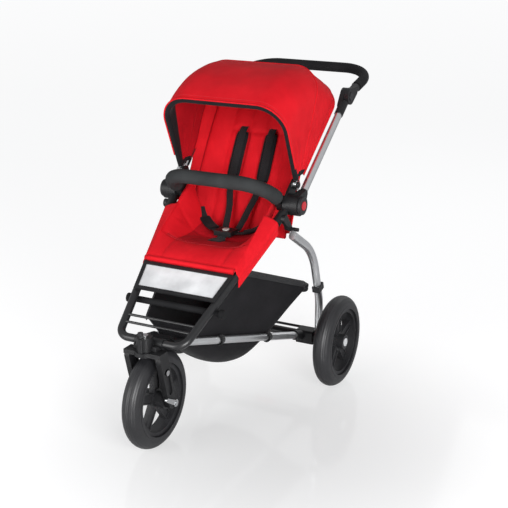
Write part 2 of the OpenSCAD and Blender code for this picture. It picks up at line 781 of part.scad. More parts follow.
module front_frame() {
    place() color("#1c1c1e") climb(pivot, beam_angle) difference() {
        union() {
            both_sides() rotate(-90)
                bent([[loop_w / 2 - loop_trim, -loop_turn, loop_bend],
                      [beam_l / cos(flare) - loop_trim - block_reach, 0, 0]]) ring(tube_r, tube_wall);
            rotate([0, 90, 0]) linear_extrude(1, center = true) scale(1.003) ring(tube_r, tube_wall);
        }
        for (v = foot_bar_at) translate([0, v, foot_bar_up])
            rod_x(-half_at(v), half_at(v), foot_bar_r + seat_gap);
    }
}

// Half of the distance between the seat tubes, at a distance from the folding pivot
function half_at(v) = loop_w / 2 + v * tan(flare);

module side_blocks() {
    place() color("#19191b") both_sides() difference() {
        union() {
            side_view(block_x, side_x + tube_r) translate(side) circle(hinge_r);
            side_view(block_x, block_x + hood_lug) link(side, hinge_r, hood_pivot, 18);
            seat_tube_line() translate([0, beam_l / cos(flare) - block_reach + seat_gap, 0])
                rotate([-90, 0, 0]) cylinder(h = block_reach - 12, r = tube_r);
            seat_tube_line() translate([0, beam_l / cos(flare) - block_reach - 25, 0])
                rotate([-90, 0, 0]) cylinder(h = 30, r = tube_r - tube_wall - seat_gap);
        }
        translate([0, side[0], side[1]]) rod_x(0, 400, pin_r + seat_gap);
        translate([0, hood_pivot[0], hood_pivot[1]]) rod_x(0, 400, hood_pin_r + seat_gap);
        climb(hood_pivot, rear_hoop_angle) translate([rear_hoop_x, hood_pin_r + 3, 0])
            rotate([-90, 0, 0]) cylinder(h = 30, r = hoop_r + seat_gap);
    }
}

module side_pins() {
    place() color("#2e2f31") both_sides() {
        translate([0, side[0], side[1]]) {
            rod_x(bumper_x - bumper_t - pass_gap, cap_x + 1, pin_r);
            rod_x(bumper_x - bumper_t - pass_gap - 5, bumper_x - bumper_t - pass_gap, pin_r + 5);
            difference() {
                rod_x(cap_x, cap_x + cap_t, hinge_r - 5);
                rod_x(cap_x + cap_t - 6, cap_x + cap_t + 1, 14);
            }
        }
        translate([0, hood_pivot[0], hood_pivot[1]]) {
            rod_x(block_x - 4, block_x + hood_lug + 2 * hoop_step + 1, hood_pin_r);
            rod_x(block_x - 4, block_x - seat_gap, hood_pin_r + 4);
            rod_x(block_x + hood_lug + 2 * hoop_step + pass_gap, side_x + tube_r - 1, hood_pin_r + 4);
        }
    }
}

module fold_button(s) {
    place() color("#c61f24") mirror([s < 0 ? 1 : 0, 0, 0]) translate([0, side[0], side[1]])
        rod_x(cap_x + cap_t - 6 + button_travel + 0.5, cap_x + cap_t + 2.5, 14 - seat_gap);
}

// Sleeves on the seat tubes, with the studs that rest on the legs' tips
module leg_studs() {
    foot = [side[0] - stud_back * cos(beam_angle), side[1] - stud_back * sin(beam_angle)];
    place() color("#19191b") both_sides() difference() {
        union() {
            seat_tube_line() translate([0, beam_l / cos(flare) - stud_back - 24, 0])
                rotate([-90, 0, 0]) cylinder(h = 44, r = tube_r + 3);
            side_view(block_out - 12, block_out) link(foot, tube_r + 1, stud, stud_r + 2);
            translate([0, stud[0], stud[1]]) rod_x(side_x - 10, handle_x + leg_w / 2, stud_r);
        }
        seat_tube_line() translate([0, beam_l / cos(flare) - stud_back - 40, 0])
            rotate([-90, 0, 0]) cylinder(h = 80, r = tube_r + seat_gap);
    }
}

// A flat plate between the seat tubes, in their plane
module panel_outline(inset) {
    a = panel_at + inset;
    b = panel_at + panel_l - inset;
    wide_a = half_at(a) - inset;
    wide_b = half_at(b) - inset;
    polygon([[-wide_a, a], [wide_a, a], [wide_b, b], [-wide_b, b]]);
}

module panel_border() {
    place() color("#1a1a1c") climb(pivot, beam_angle) translate([0, 0, tube_r + seat_gap])
        linear_extrude(panel_t + 3) difference() {
            panel_outline(-3);
            panel_outline(9);
        }
}

module foot_panel() {
    place() color("#d3d6d8") climb(pivot, beam_angle) translate([0, 0, tube_r + seat_gap])
        linear_extrude(panel_t) panel_outline(9 + seat_gap);
}

// The padded bar that hangs below the seat tubes
module calf_bar() {
    place() color("#232325") climb(pivot, beam_angle)
        translate([0, panel_at - 14, -tube_r - calf_r - seat_gap]) {
            rod_x(-calf_half + 10, calf_half - 10, calf_r);
            both_sides() rod_x(calf_half - 14, calf_half, calf_r + 4);
        }
}

module foot_bars() {
    place() color("#1d1d1f") climb(pivot, beam_angle) for (v = foot_bar_at)
        translate([0, v, foot_bar_up]) rod_x(-half_at(v) + tube_r - 4, half_at(v) - tube_r + 4, foot_bar_r);
}

// ---- handle ----

module handle_line() {
    translate([handle_x, side[0], side[1]]) rotate([handle_angle, 0, 0]) children();
}

module grip_line() {
    translate([handle_x, knuckle[0], knuckle[1]]) rotate([grip_angle, 0, 0]) children();
}

module handle_tubes() {
    place() color("#dfe1e4") both_sides() handle_line()
        translate([0, ear_reach + tube_r + seat_gap, 0]) rotate([-90, 0, 0])
            linear_extrude(handle_l - ear_reach - tube_r - knuckle_r - 12) ring(tube_r, tube_wall);
}

module handle_ears() {
    dir = [cos(handle_angle), sin(handle_angle)];
    place() color("#19191b") both_sides() difference() {
        union() {
            side_view(ear_x, handle_x + tube_r) link(side, hinge_r, side + ear_reach * dir, tube_r);
            handle_line() rotate([-90, 0, 0])
                cylinder(h = ear_reach + 38, r = tube_r - tube_wall - seat_gap);
        }
        translate([0, side[0], side[1]]) rod_x(0, 400, pin_r + run_gap);
    }
}

module knuckle_bases() {
    dir = [cos(handle_angle), sin(handle_angle)];
    place() color("#1b1b1d") both_sides() {
        difference() {
            union() {
                side_view(handle_x - tube_r - 2.4, handle_x - pass_gap / 2)
                    link(knuckle, knuckle_r, knuckle - 42 * dir, 13);
                handle_line() translate([0, handle_l - 84, 0]) rotate([-90, 0, 0])
                    cylinder(h = 84 - knuckle_r - 3, r = tube_r + 2.4);
            }
            handle_line() translate([0, handle_l - 90, 0]) rotate([-90, 0, 0])
                cylinder(h = 90 - knuckle_r - 12 + 2 * seat_gap, r = tube_r + seat_gap);
        }
        translate([0, knuckle[0], knuckle[1]])
            rod_x(handle_x - 4, handle_x + tube_r + 3 - button_depth - 0.5, 6);
    }
}

module knuckle_tops() {
    dir = [cos(grip_angle), sin(grip_angle)];
    place() color("#1b1b1d") both_sides() difference() {
        union() {
            side_view(handle_x + pass_gap / 2, handle_x + tube_r + 3)
                link(knuckle, knuckle_r, knuckle + 42 * dir, 13);
            grip_line() translate([0, knuckle_r + 3, 0]) rotate([-90, 0, 0])
                cylinder(h = 46, r = tube_r + 2.4);
        }
        translate([0, knuckle[0], knuckle[1]]) {
            rod_x(0, 400, 6 + run_gap);
            rod_x(handle_x + tube_r + 3 - button_depth, 400, 14);
        }
        grip_line() translate([0, knuckle_r + 12, 0]) rotate([-90, 0, 0])
            cylinder(h = 90, r = grip_tube_r + seat_gap);
    }
}

module grip_path(start) {
    translate([-handle_x, 0, 0]) grip_line() translate([0, start, 0])
        bent([[grip_l - grip_bend - start, 90, grip_bend],
              [2 * (handle_x - grip_bend), 90, grip_bend],
              [grip_l - grip_bend - start, 0, 0]]) children();
}

module grip_tube() {
    place() color("#d9dbde") translate([-handle_x, 0, 0]) grip_path(knuckle_r + 12 + seat_gap)
        ring(grip_tube_r, 1.6);
}

module grip_foam() {
    place() color("#1d1d1f") translate([-handle_x, 0, 0]) grip_path(knuckle_r + 52)
        ring(grip_r, grip_r - grip_tube_r - seat_gap);
}

module knuckle_button(s) {
    face = handle_x + tube_r + 3;
    place() color("#47484b") mirror([s < 0 ? 1 : 0, 0, 0]) translate([0, knuckle[0], knuckle[1]])
        rod_x(face - button_depth + button_travel + 0.5, face + 2.5, 14 - seat_gap);
}

// ---- hood ----

module hoop(half, reach, angle) {
    climb(hood_pivot, angle) translate([-half, 12, 0])
        bent([[reach - hoop_bend - 12, 90, hoop_bend], [2 * (half - hoop_bend), 90, hoop_bend],
              [reach - hoop_bend - 12, 0, 0]], band = 1.02) circle(hoop_r);
}

module hoop_foot(n) {
    x = block_x + hood_lug + pass_gap + n * hoop_step;
    both_sides() difference() {
        translate([0, hood_pivot[0], hood_pivot[1]]) rod_x(x + 0.3, x + 2 * hoop_r - 0.3, 16);
        translate([0, hood_pivot[0], hood_pivot[1]]) rod_x(0, 400, hood_pin_r + run_gap);
    }
}

function hoop_half(n) = block_x + hood_lug + pass_gap + n * hoop_step + hoop_r;

module front_hoop() {
    place() color("#2b2b2d") {
        hoop(hoop_half(1), front_hoop_l, front_hoop_angle);
        hoop_foot(1);
    }
}

module mid_hoop() {
    place() color("#2b2b2d") {
        hoop(hoop_half(0), mid_hoop_l, mid_hoop_angle);
        hoop_foot(0);
    }
}

module rear_hoop() {
    start = hood_pin_r + 3 + seat_gap;
    up = rear_hoop_l - hoop_bend - start;
    place() color("#2b2b2d") climb(hood_pivot, rear_hoop_angle) translate([-rear_hoop_x, start, 0])
        bent([[up, 90, hoop_bend], [2 * (rear_hoop_x - hoop_bend), 90, hoop_bend], [up, 0, 0]],
            band = 1.02) circle(hoop_r);
}

// Half outline of a hoop's arch at fraction f of the way from one side to the other
function arch(f, half, reach, low, bend) =
    let (up = reach - bend - low, turn = PI * bend / 2, flat = 2 * (half - bend),
         l = f * (2 * up + 2 * turn + flat))
    l < up ? [-half, low + l]
    : l < up + turn ? let (a = (l - up) / bend * 180 / PI)
        [-half + bend * (1 - cos(a)), low + up + bend * sin(a)]
    : l < up + turn + flat ? [-half + bend + l - up - turn, reach]
    : l < up + 2 * turn + flat ? let (a = (l - up - turn - flat) / bend * 180 / PI)
        [half - bend + bend * sin(a), reach - bend * (1 - cos(a))]
    : [half, low + 2 * up + 2 * turn + flat - l];

// Rows of the hood from its front rim to its rear hoop, g from 0 to 2
function hood_row(g, t) = let (
        k = max(0, floor(min(g, 1.999))), e = g - k,
        l0 = [front_hoop_l, mid_hoop_l, rear_hoop_l][k], l1 = [front_hoop_l, mid_hoop_l, rear_hoop_l][k + 1],
        a0 = [front_hoop_angle, mid_hoop_angle, rear_hoop_angle][k],
        a1 = [front_hoop_angle, mid_hoop_angle, rear_hoop_angle][k + 1],
        sag = (k == 0 ? 4 : 7) * sin(180 * e), a = a0 + (a1 - a0) * e,
        reach = l0 + (l1 - l0) * e + hood_over - sag - t,
        low = 26 + 14 * g, half = hood_x - t)
    [for (i = [0:36]) let (p = arch(i / 36, half, reach, low, hoop_bend + hood_over - 5))
        [p[0], hood_pivot[0] + p[1] * cos(a), hood_pivot[1] + p[1] * sin(a)]];

hood_steps = [-0.05, each [0:0.2:0.81], each [1:0.25:2.01]];

module canopy() {
    place() color("#d81e26") shell([for (g = hood_steps) hood_row(g, 0)],
        [for (g = hood_steps) hood_row(g, cloth_t)]);
}

// ---- bumper bar ----

module bumper_path(start) {
    half = bumper_x - bumper_t / 2;
    climb(side, bumper_angle) translate([-half, start, 0])
        bent([[bumper_l - bumper_bend - start, 90, bumper_bend],
              [2 * (half - bumper_bend), 90, bumper_bend],
              [bumper_l - bumper_bend - start, 0, 0]]) children();
}

module bumper_tube() {
    place() color("#cfd1d4") bumper_path(48 + seat_gap) ring(bumper_tube_r, 1.6);
}

module bumper_foam() {
    place() color("#46494a") bumper_path(50) ring(bumper_r, bumper_r - bumper_tube_r - seat_gap);
}

module bumper_ends() {
    place() color("#19191b") both_sides() difference() {
        union() {
            side_view(bumper_x - bumper_t, bumper_x)
                link(side, 24, side + 34 * [cos(bumper_angle), sin(bumper_angle)], 14);
            climb(side, bumper_angle) translate([bumper_x - bumper_t / 2, 20, 0]) rotate([-90, 0, 0])
                cylinder(h = 40, r = bumper_tube_r - 1.6 - seat_gap);
        }
        translate([0, side[0], side[1]]) rod_x(0, 400, pin_r + run_gap);
    }
}

// ---- seat ----

function seat_drop(y) = lookup(y, seat_rows);
function seat_edge(y) = min(tube_x(y) + 4, seat_half);
function seat_rim(y) = tube_z(y) + 15;
function seat_point(u, y, t) = let (low = tube_z(y) - seat_drop(y), e = max(seat_rim(y), low))
    [u * seat_edge(y), y, low + (e - low) * pow(abs(u), 4) + t];

module seat_pad() {
    place() color("#d81e26") shell(
        [for (r = seat_rows) [for (u = [-1:0.2:1.01]) seat_point(u, r[0], pad_t)]],
        [for (r = seat_rows) [for (u = [-1:0.2:1.01]) seat_point(u, r[0], 0)]]);
}

// ---- back ----

function back_point(u, s, n) = let (f = n + wing * min(1, s / 150) * pow(abs(u), 3))
    [u * (back_x - 20 * pow(s / back_l, 3)), seat_crease[0] + s * cos(back_angle) - f * sin(back_angle),
     seat_crease[1] + s * sin(back_angle) + f * cos(back_angle)];

module back_pad() {
    place() color("#c9161f") shell(
        [for (s = [3:(back_l - 3) / 8:back_l + 1]) [for (u = [-1:0.2:1.01]) back_point(u, s, pad_t)]],
        [for (s = [3:(back_l - 3) / 8:back_l + 1]) [for (u = [-1:0.2:1.01]) back_point(u, s, 0)]]);
}

module shoulder_pads() {
    place() color("#1f1f21") for (c = [-1, 1]) shell(
        [for (s = [170:40:331])
            [for (u = [c * 0.32 - 0.11 : 0.055 : c * 0.32 + 0.12]) back_point(u, s, pad_t + 12)]],
        [for (s = [170:40:331])
            [for (u = [c * 0.32 - 0.11 : 0.055 : c * 0.32 + 0.12]) back_point(u, s, pad_t + 0.8)]]);
}

module crotch_strap() {
    place() color("#1b1b1d") shell(
        [for (y = strap_rows) [for (u = [-0.12:0.06:0.13]) seat_point(u, y, pad_t + 2.4)]],
        [for (y = strap_rows) [for (u = [-0.12:0.06:0.13]) seat_point(u, y, pad_t + 0.4)]]);
}

module buckle() {
    z = seat_point(0, buckle_y, pad_t)[2];
    place() color("#242426") translate([0, buckle_y, z + 3.4]) difference() {
        translate([-30, -24, 0]) cube([60, 48, 16]);
        translate([0, 0, 7]) cylinder(h = 20, r = 11);
    }
}

module buckle_button() {
    z = seat_point(0, buckle_y, pad_t)[2];
    place() color("#d9d2c8") translate([0, buckle_y, z + 10.4 + button_travel + 0.5])
        cylinder(h = 8, r = 11 - seat_gap);
}

front_frame();
side_blocks();
side_pins();
leg_studs();
panel_border();
foot_panel();
calf_bar();
foot_bars();
rear_hoop();
seat_pad();
crotch_strap();
buckle();
buckle_button();
fold_button(1);  // fold_button_left
fold_button(-1);  // fold_button_right
handle_tubes();
handle_ears();
knuckle_bases();
knuckle_tops();
grip_tube();
grip_foam();
knuckle_button(1);  // knuckle_button_left
knuckle_button(-1);  // knuckle_button_right
mid_hoop();
front_hoop();
canopy();
bumper_tube();
bumper_foam();
bumper_ends();
back_pad();
shoulder_pads();
head();
rails();
rear_axle();
stub_axles();
axle_blocks();
basket();
brake_bar();
brake_pedal();
rear_legs();
leg_feet();
leg_clips();
fork();
swivel_stem();
fork_bolts();
front_axle();
quick_release();
swivel_lock();
front_tyre();
front_rim();
front_bearings();
rear_tyre(1);  // rear_tyre_left
rear_tyre(-1);  // rear_tyre_right
rear_rim(1);  // rear_rim_left
rear_rim(-1);  // rear_rim_right
rear_bearings(1);  // rear_bearings_left
rear_bearings(-1);  // rear_bearings_right
wheel_button(1);  // wheel_button_left
wheel_button(-1);  // wheel_button_right
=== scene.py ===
import bpy
import bmesh
from math import copysign, cos, exp, pi, radians, sin, sqrt, tan
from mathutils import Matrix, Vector, noise
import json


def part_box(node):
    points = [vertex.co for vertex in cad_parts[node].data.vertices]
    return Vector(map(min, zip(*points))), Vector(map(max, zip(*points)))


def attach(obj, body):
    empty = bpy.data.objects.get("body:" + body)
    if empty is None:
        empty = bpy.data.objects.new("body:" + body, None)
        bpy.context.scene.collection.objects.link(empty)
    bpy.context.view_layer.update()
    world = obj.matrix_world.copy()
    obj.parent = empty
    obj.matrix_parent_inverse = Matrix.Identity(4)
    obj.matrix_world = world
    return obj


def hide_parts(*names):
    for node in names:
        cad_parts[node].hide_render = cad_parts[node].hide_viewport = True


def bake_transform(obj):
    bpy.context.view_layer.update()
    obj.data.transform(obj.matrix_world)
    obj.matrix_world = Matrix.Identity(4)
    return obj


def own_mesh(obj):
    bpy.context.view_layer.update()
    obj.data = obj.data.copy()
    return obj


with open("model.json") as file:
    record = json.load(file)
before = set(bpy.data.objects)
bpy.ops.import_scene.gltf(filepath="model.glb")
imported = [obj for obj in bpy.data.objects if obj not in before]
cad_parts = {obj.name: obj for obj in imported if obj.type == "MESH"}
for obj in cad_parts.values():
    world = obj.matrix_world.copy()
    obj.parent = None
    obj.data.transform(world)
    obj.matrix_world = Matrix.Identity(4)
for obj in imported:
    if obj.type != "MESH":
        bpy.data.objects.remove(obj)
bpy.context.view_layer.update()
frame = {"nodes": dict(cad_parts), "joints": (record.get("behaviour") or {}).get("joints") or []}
nodes = frame["nodes"]
joints = {joint["name"]: joint for joint in frame["joints"]}
print("frame loaded")


# Materials

def setInputs(node, **values):
    for key, value in values.items():
        node.inputs[key.replace("_", " ")].default_value = value


def link(start, end):
    start.id_data.links.new(start, end)


def newMaterial(name):
    mat = bpy.data.materials.new(name)
    mat.use_nodes = True
    tree = mat.node_tree
    return mat, tree, tree.nodes["Principled BSDF"]


def addNode(tree, kind, settings=None, **inputs):
    node = tree.nodes.new(kind)
    for key, value in (settings or {}).items():
        setattr(node, key, value)
    setInputs(node, **inputs)
    return node


def texture(tree, kind, output, settings=None, **inputs):
    # a texture laid out in the piece's own coordinates
    coords = addNode(tree, "ShaderNodeTexCoord")
    node = addNode(tree, "ShaderNodeTex" + kind, settings, **inputs)
    link(coords.outputs["Object"], node.inputs["Vector"])
    return node.outputs[output]


def addUp(tree, first, second):
    node = addNode(tree, "ShaderNodeMath", {"operation": "ADD"})
    link(first, node.inputs[0])
    link(second, node.inputs[1])
    return node.outputs[0]


def colourBetween(tree, shader, source, dark, light, spread):
    # the middle of the source's range goes from the dark colour to the light one
    node = tree.nodes.new("ShaderNodeValToRGB")
    places = (0.5 - spread, 0.5 + spread)
    for element, place, colour in zip(node.color_ramp.elements, places, (dark, light)):
        element.position = place
        element.color = (*colour, 1)
    link(source, node.inputs["Fac"])
    link(node.outputs["Color"], shader.inputs["Base Color"])


def roughBetween(tree, shader, source, low, high):
    node = addNode(tree, "ShaderNodeMapRange", To_Min=low, To_Max=min(1, high))
    link(source, node.inputs["Value"])
    link(node.outputs["Result"], shader.inputs["Roughness"])


def bump(tree, shader, height, strength, distance, under=None):
    node = addNode(tree, "ShaderNodeBump", Strength=strength, Distance=distance)
    link(height, node.inputs["Height"])
    if under:
        link(under.outputs["Normal"], node.inputs["Normal"])
    link(node.outputs["Normal"], shader.inputs["Normal"])
    return node


weave = {
    "patchScale": 9.0, "creaseScale": 22.0, "creaseBump": 0.22, "creaseDepth": 0.004, "threadBump": 0.25,
    "threadDepth": 0.0005, "sheenRough": 0.45, "shine": 0.12,
}


def clothMaterial(name, dark, light, threads, rough, sheen, sheenTint=(1, 1, 1), threadBump=weave["threadBump"]):
    mat, tree, shader = newMaterial(name)
    setInputs(shader, Roughness=rough, Sheen_Weight=sheen, Sheen_Roughness=weave["sheenRough"],
              Sheen_Tint=(*sheenTint, 1), Specular_IOR_Level=weave["shine"])
    patches = texture(tree, "Noise", "Fac", Scale=weave["patchScale"], Detail=5.0, Roughness=0.6)
    colourBetween(tree, shader, patches, dark, light, 0.2)
    creases = texture(tree, "Noise", "Fac", Scale=weave["creaseScale"], Detail=3.0, Distortion=0.4)
    soft = bump(tree, shader, creases, weave["creaseBump"], weave["creaseDepth"])
    waves = [texture(tree, "Wave", "Fac", {"bands_direction": direction}, Scale=threads,
                     Distortion=0.6, Detail=1.0) for direction in "XYZ"]
    allThree = addUp(tree, addUp(tree, waves[0], waves[1]), waves[2])
    bump(tree, shader, allThree, threadBump, weave["threadDepth"], soft)
    return mat


metal = {"grainScale": 60.0, "streak": 0.12, "bump": 0.06, "depth": 0.0006}


def tubeMaterial(name, colour, metallic, rough):
    mat, tree, shader = newMaterial(name)
    setInputs(shader, Metallic=metallic)
    grain = texture(tree, "Noise", "Fac", Scale=metal["grainScale"], Detail=6.0, Roughness=0.7)
    dark = tuple(c * (1 - metal["streak"]) for c in colour)
    colourBetween(tree, shader, grain, dark, colour, 0.25)
    roughBetween(tree, shader, grain, rough * 0.8, rough * 1.3)
    bump(tree, shader, grain, metal["bump"], metal["depth"])
    return mat


def plasticMaterial(name, colour, rough, grainScale=900.0, grainBump=0.16, coat=0.0, shine=0.3):
    mat, tree, shader = newMaterial(name)
    setInputs(shader, Coat_Weight=coat, Specular_IOR_Level=shine)
    clouds = texture(tree, "Noise", "Fac", Scale=14.0, Detail=4.0)
    dark = tuple(c * 0.8 for c in colour)
    light = tuple(min(1, c * 1.15 + 0.004) for c in colour)
    colourBetween(tree, shader, clouds, dark, light, 0.2)
    roughBetween(tree, shader, clouds, rough * 0.85, rough * 1.2)
    grain = texture(tree, "Voronoi", "Distance", Scale=grainScale)
    bump(tree, shader, grain, grainBump, 0.0004)
    return mat


tread = {"grooves": 38.0, "bump": 0.5, "depth": 0.0012}


def tyreMaterial(name, colour, rough, shine):
    # fine grooves run round the tyre
    mat = plasticMaterial(name, colour, rough, 420.0, 0.12, 0.0, shine)
    tree = mat.node_tree
    shader = tree.nodes["Principled BSDF"]
    under = shader.inputs["Normal"].links[0].from_node
    grooves = texture(tree, "Wave", "Fac", {"bands_direction": "X"}, Scale=tread["grooves"])
    bump(tree, shader, grooves, tread["bump"], tread["depth"], under)
    return mat


redCloth = clothMaterial("redCloth", (0.60, 0.006, 0.013), (0.76, 0.011, 0.02), 260.0, 0.72, 0.06,
                         (1, 0.2, 0.2))
# the darker red of the hood's lining, also used as painted shade on the seat's middle and along its crease
liningAndShadeCloth = clothMaterial("liningAndShadeCloth", (0.36, 0.004, 0.010), (0.50, 0.007, 0.015), 260.0, 0.8, 0.05,
                            (1, 0.2, 0.2))
blackCloth = clothMaterial("blackCloth", (0.007, 0.007, 0.008), (0.014, 0.013, 0.015), 300.0, 0.75, 0.06)
webbing = clothMaterial("webbing", (0.012, 0.012, 0.013), (0.02, 0.02, 0.022), 420.0, 0.6, 0.1,
                        threadBump=0.5)
redThread = plasticMaterial("redThread", (0.62, 0.03, 0.04), 0.6, 1200.0, 0.1)
blackPlastic = plasticMaterial("blackPlastic", (0.010, 0.010, 0.011), 0.42)

looks = (
    (redCloth, "seat_pad canopy back_pad"),
    (blackCloth, "shoulder_pads basket"),
    (webbing, "crotch_strap"),
    (tubeMaterial("silverTube", (0.78, 0.79, 0.80), 1.0, 0.3),
     "handle_tubes grip_tube bumper_tube rails rear_legs"),
    (tubeMaterial("blackTube", (0.012, 0.012, 0.013), 0.0, 0.32),
     "front_frame foot_bars rear_axle brake_bar"),
    (tubeMaterial("steel", (0.60, 0.61, 0.62), 1.0, 0.24),
     "rear_hoop mid_hoop front_hoop stub_axles swivel_stem fork_bolts front_axle quick_release "
     "front_bearings rear_bearings_left rear_bearings_right"),
    (blackPlastic,
     "side_blocks leg_studs panel_border buckle handle_ears knuckle_bases knuckle_tops bumper_ends "
     "head axle_blocks leg_feet fork"),
    (plasticMaterial("greyPlastic", (0.022, 0.022, 0.024), 0.45),
     "side_pins knuckle_button_left knuckle_button_right leg_clips swivel_lock front_rim "
     "rear_rim_left rear_rim_right"),
    (plasticMaterial("silverPlastic", (0.72, 0.73, 0.74), 0.34, 700.0, 0.05, 0.2),
     "foot_panel wheel_button_left wheel_button_right"),
    (plasticMaterial("redPlastic", (0.55, 0.02, 0.03), 0.35, 700.0, 0.05, 0.2),
     "fold_button_left fold_button_right brake_pedal"),
    (plasticMaterial("palePlastic", (0.62, 0.60, 0.56), 0.4), "buckle_button"),
    (plasticMaterial("gripFoam", (0.008, 0.008, 0.009), 0.75, 1500.0, 0.5, 0.0, 0.2), "calf_bar grip_foam"),
    (plasticMaterial("barFoam", (0.030, 0.032, 0.033), 0.8, 1300.0, 0.55, 0.0, 0.2), "bumper_foam"),
    (tyreMaterial("tyreRubber", (0.014, 0.014, 0.016), 0.42, 0.5), "front_tyre rear_tyre_left rear_tyre_right"),
)
for look, names in looks:
    for name in names.split():
        mesh = nodes[name].data
        mesh.materials.clear()
        mesh.materials.append(look)
print("materials ready")


# Mesh helpers

def steps(low, high, count):
    return [low + (high - low) * k / count for k in range(count + 1)]


def turns(count):
    return [2 * pi * k / count for k in range(count)]


def runs(points):
    # the length of a path up to each of its points
    lengths = [0.0]
    for a, b in zip(points, points[1:]):
        lengths.append(lengths[-1] + (b - a).length)
    return lengths


def surfaceUp(point, u, v):
    return (point(u, v, 0.01) - point(u, v, 0.0)).normalized()


def gridMesh(name, rows, wrap=False):
    count = len(rows[0])
    faces = []
    for i in range(len(rows) - 1):
        for j in range(count if wrap else count - 1):
            a, b = i * count + j, i * count + (j + 1) % count
            faces.append((a, b, b + count, a + count))
    mesh = bpy.data.meshes.new(name)
    mesh.from_pydata([tuple(p) for row in rows for p in row], [], faces)
    # the cloth's own coordinates, in metres along each row and from row to row
    middle = count // 2
    down = runs([row[middle] for row in rows])
    along = []
    for row in rows:
        run = runs(row + row[:1])
        along.append([r - run[middle] for r in run])
    layer = mesh.uv_layers.new(name="clothUV")
    for face in mesh.polygons:
        spots = [divmod(mesh.loops[k].vertex_index, count) for k in face.loop_indices]
        last = wrap and max(s[1] for s in spots) - min(s[1] for s in spots) > 1
        for k, (i, j) in zip(face.loop_indices, spots):
            layer.data[k].uv = (along[i][count if last and j == 0 else j], down[i])
    return mesh


def addObject(name, data):
    piece = bpy.data.objects.new(name, data)
    bpy.context.scene.collection.objects.link(piece)
    return piece


def addPiece(name, mesh, *materials):
    for material in materials:
        mesh.materials.append(material)
    mesh.polygons.foreach_set("use_smooth", [True] * len(mesh.polygons))
    return addObject(name, mesh)


def carry(piece, body, replaces=None):
    # hangs a piece on a body of the frame, and hides the part that it replaces
    if body:
        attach(piece, body)
    if replaces:
        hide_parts(replaces)


def applyModifiers(piece):
    graph = bpy.context.evaluated_depsgraph_get()
    seen = piece.evaluated_get(graph)
    mesh = bpy.data.meshes.new_from_object(seen, preserve_all_data_layers=True, depsgraph=graph)
    piece.modifiers.clear()
    old = piece.data
    piece.data = mesh
    bpy.data.meshes.remove(old)


def makeSheet(name, rows, thickness, offset, materials, isSecond=None):
    # a cloth laid over a grid of points, and its area; isSecond(face number) picks the second material
    mesh = gridMesh(name, rows)
    area = sum(face.area for face in mesh.polygons)
    piece = addPiece(name, mesh, *materials)
    if isSecond:
        for face in mesh.polygons:
            face.material_index = 1 if isSecond(face.index) else 0
    wall = piece.modifiers.new("wall", "SOLIDIFY")
    wall.thickness = thickness
    wall.offset = offset
    wall.use_even_offset = False
    applyModifiers(piece)
    return piece, area


def layCloth(name, rows, thickness, body, width):
    # a red cloth stretched between what it is sewn to
    piece, area = makeSheet(name, rows, thickness, 0.0, (redCloth,))
    carry(piece, body)
    return piece


def joinPieces(name, parts):
    # one piece out of several parts of the same material
    material = parts[0].data.materials[0]
    bm = bmesh.new()
    for part in parts:
        bm.from_mesh(part.data)
        bpy.data.meshes.remove(part.data)
    mesh = bpy.data.meshes.new(name)
    bm.to_mesh(mesh)
    bm.free()
    return addPiece(name, mesh, material)


def spline(points, count):
    smooth = []
    last = len(points) - 1
    for i in range(last):
        a, b, c, d = points[max(0, i - 1)], points[i], points[i + 1], points[min(last, i + 2)]
        for k in range(count):
            t = k / count
            smooth.append(0.5 * ((2 * b) + (c - a) * t + (2 * a - 5 * b + 4 * c - d) * t * t
                                 + (3 * b - a - 3 * c + d) * t * t * t))
    smooth.append(points[-1])
    return smooth


def bandRows(path, normals, width, thickness):
    # a flat band with rounded edges along a path, as closed rings of eight points
    w, h = width / 2, thickness / 2
    outline = [(w, -h * 0.4), (w, h * 0.4), (w - h, h), (-w + h, h),
               (-w, h * 0.4), (-w, -h * 0.4), (-w + h, -h), (w - h, -h)]
    rows = []
    for i, (spot, up) in enumerate(zip(path, normals)):
        ahead = path[min(i + 1, len(path) - 1)] - path[max(i - 1, 0)]
        side = ahead.cross(up).normalized()
        lift = side.cross(ahead).normalized()
        rows.append([spot + side * x + lift * y for x, y in outline])
    return rows


def closeEnds(mesh, faces):
    # fills the open ends with faces, each given as the numbers of its points
    bm = bmesh.new()
    bm.from_mesh(mesh)
    bm.verts.ensure_lookup_table()
    for corners in faces:
        bm.faces.new([bm.verts[k] for k in corners])
    bmesh.ops.recalc_face_normals(bm, faces=bm.faces)
    bm.to_mesh(mesh)
    bm.free()


def makeTube(name, rows, material):
    # a skin round a row of rings
    mesh = gridMesh(name, rows, wrap=True)
    count = len(rows[0])
    last = (len(rows) - 1) * count
    closeEnds(mesh, [range(count)[::-1], range(last, last + count)])
    return addPiece(name, mesh, material)


def makeBand(name, path, normals, width, thickness, material):
    return makeTube(name, bandRows(path, normals, width, thickness), material)


def makeCord(name, path, radius, material, sides=8):
    rows = []
    up = Vector((0, 0, 1))
    for i, spot in enumerate(path):
        ahead = (path[min(i + 1, len(path) - 1)] - path[max(i - 1, 0)]).normalized()
        side = ahead.cross(up)
        if side.length < 0.1:
            side = ahead.cross(Vector((1, 0, 0)))
        side.normalize()
        up = side.cross(ahead).normalized()
        rows.append([spot + radius * (side * cos(a) + up * sin(a)) for a in turns(sides)])
    return makeTube(name, rows, material)


stitching = {"Spacing": 0.0055, "Stitch Length": 0.0034, "Stitch Radius": 0.00055}
threadSides = 5


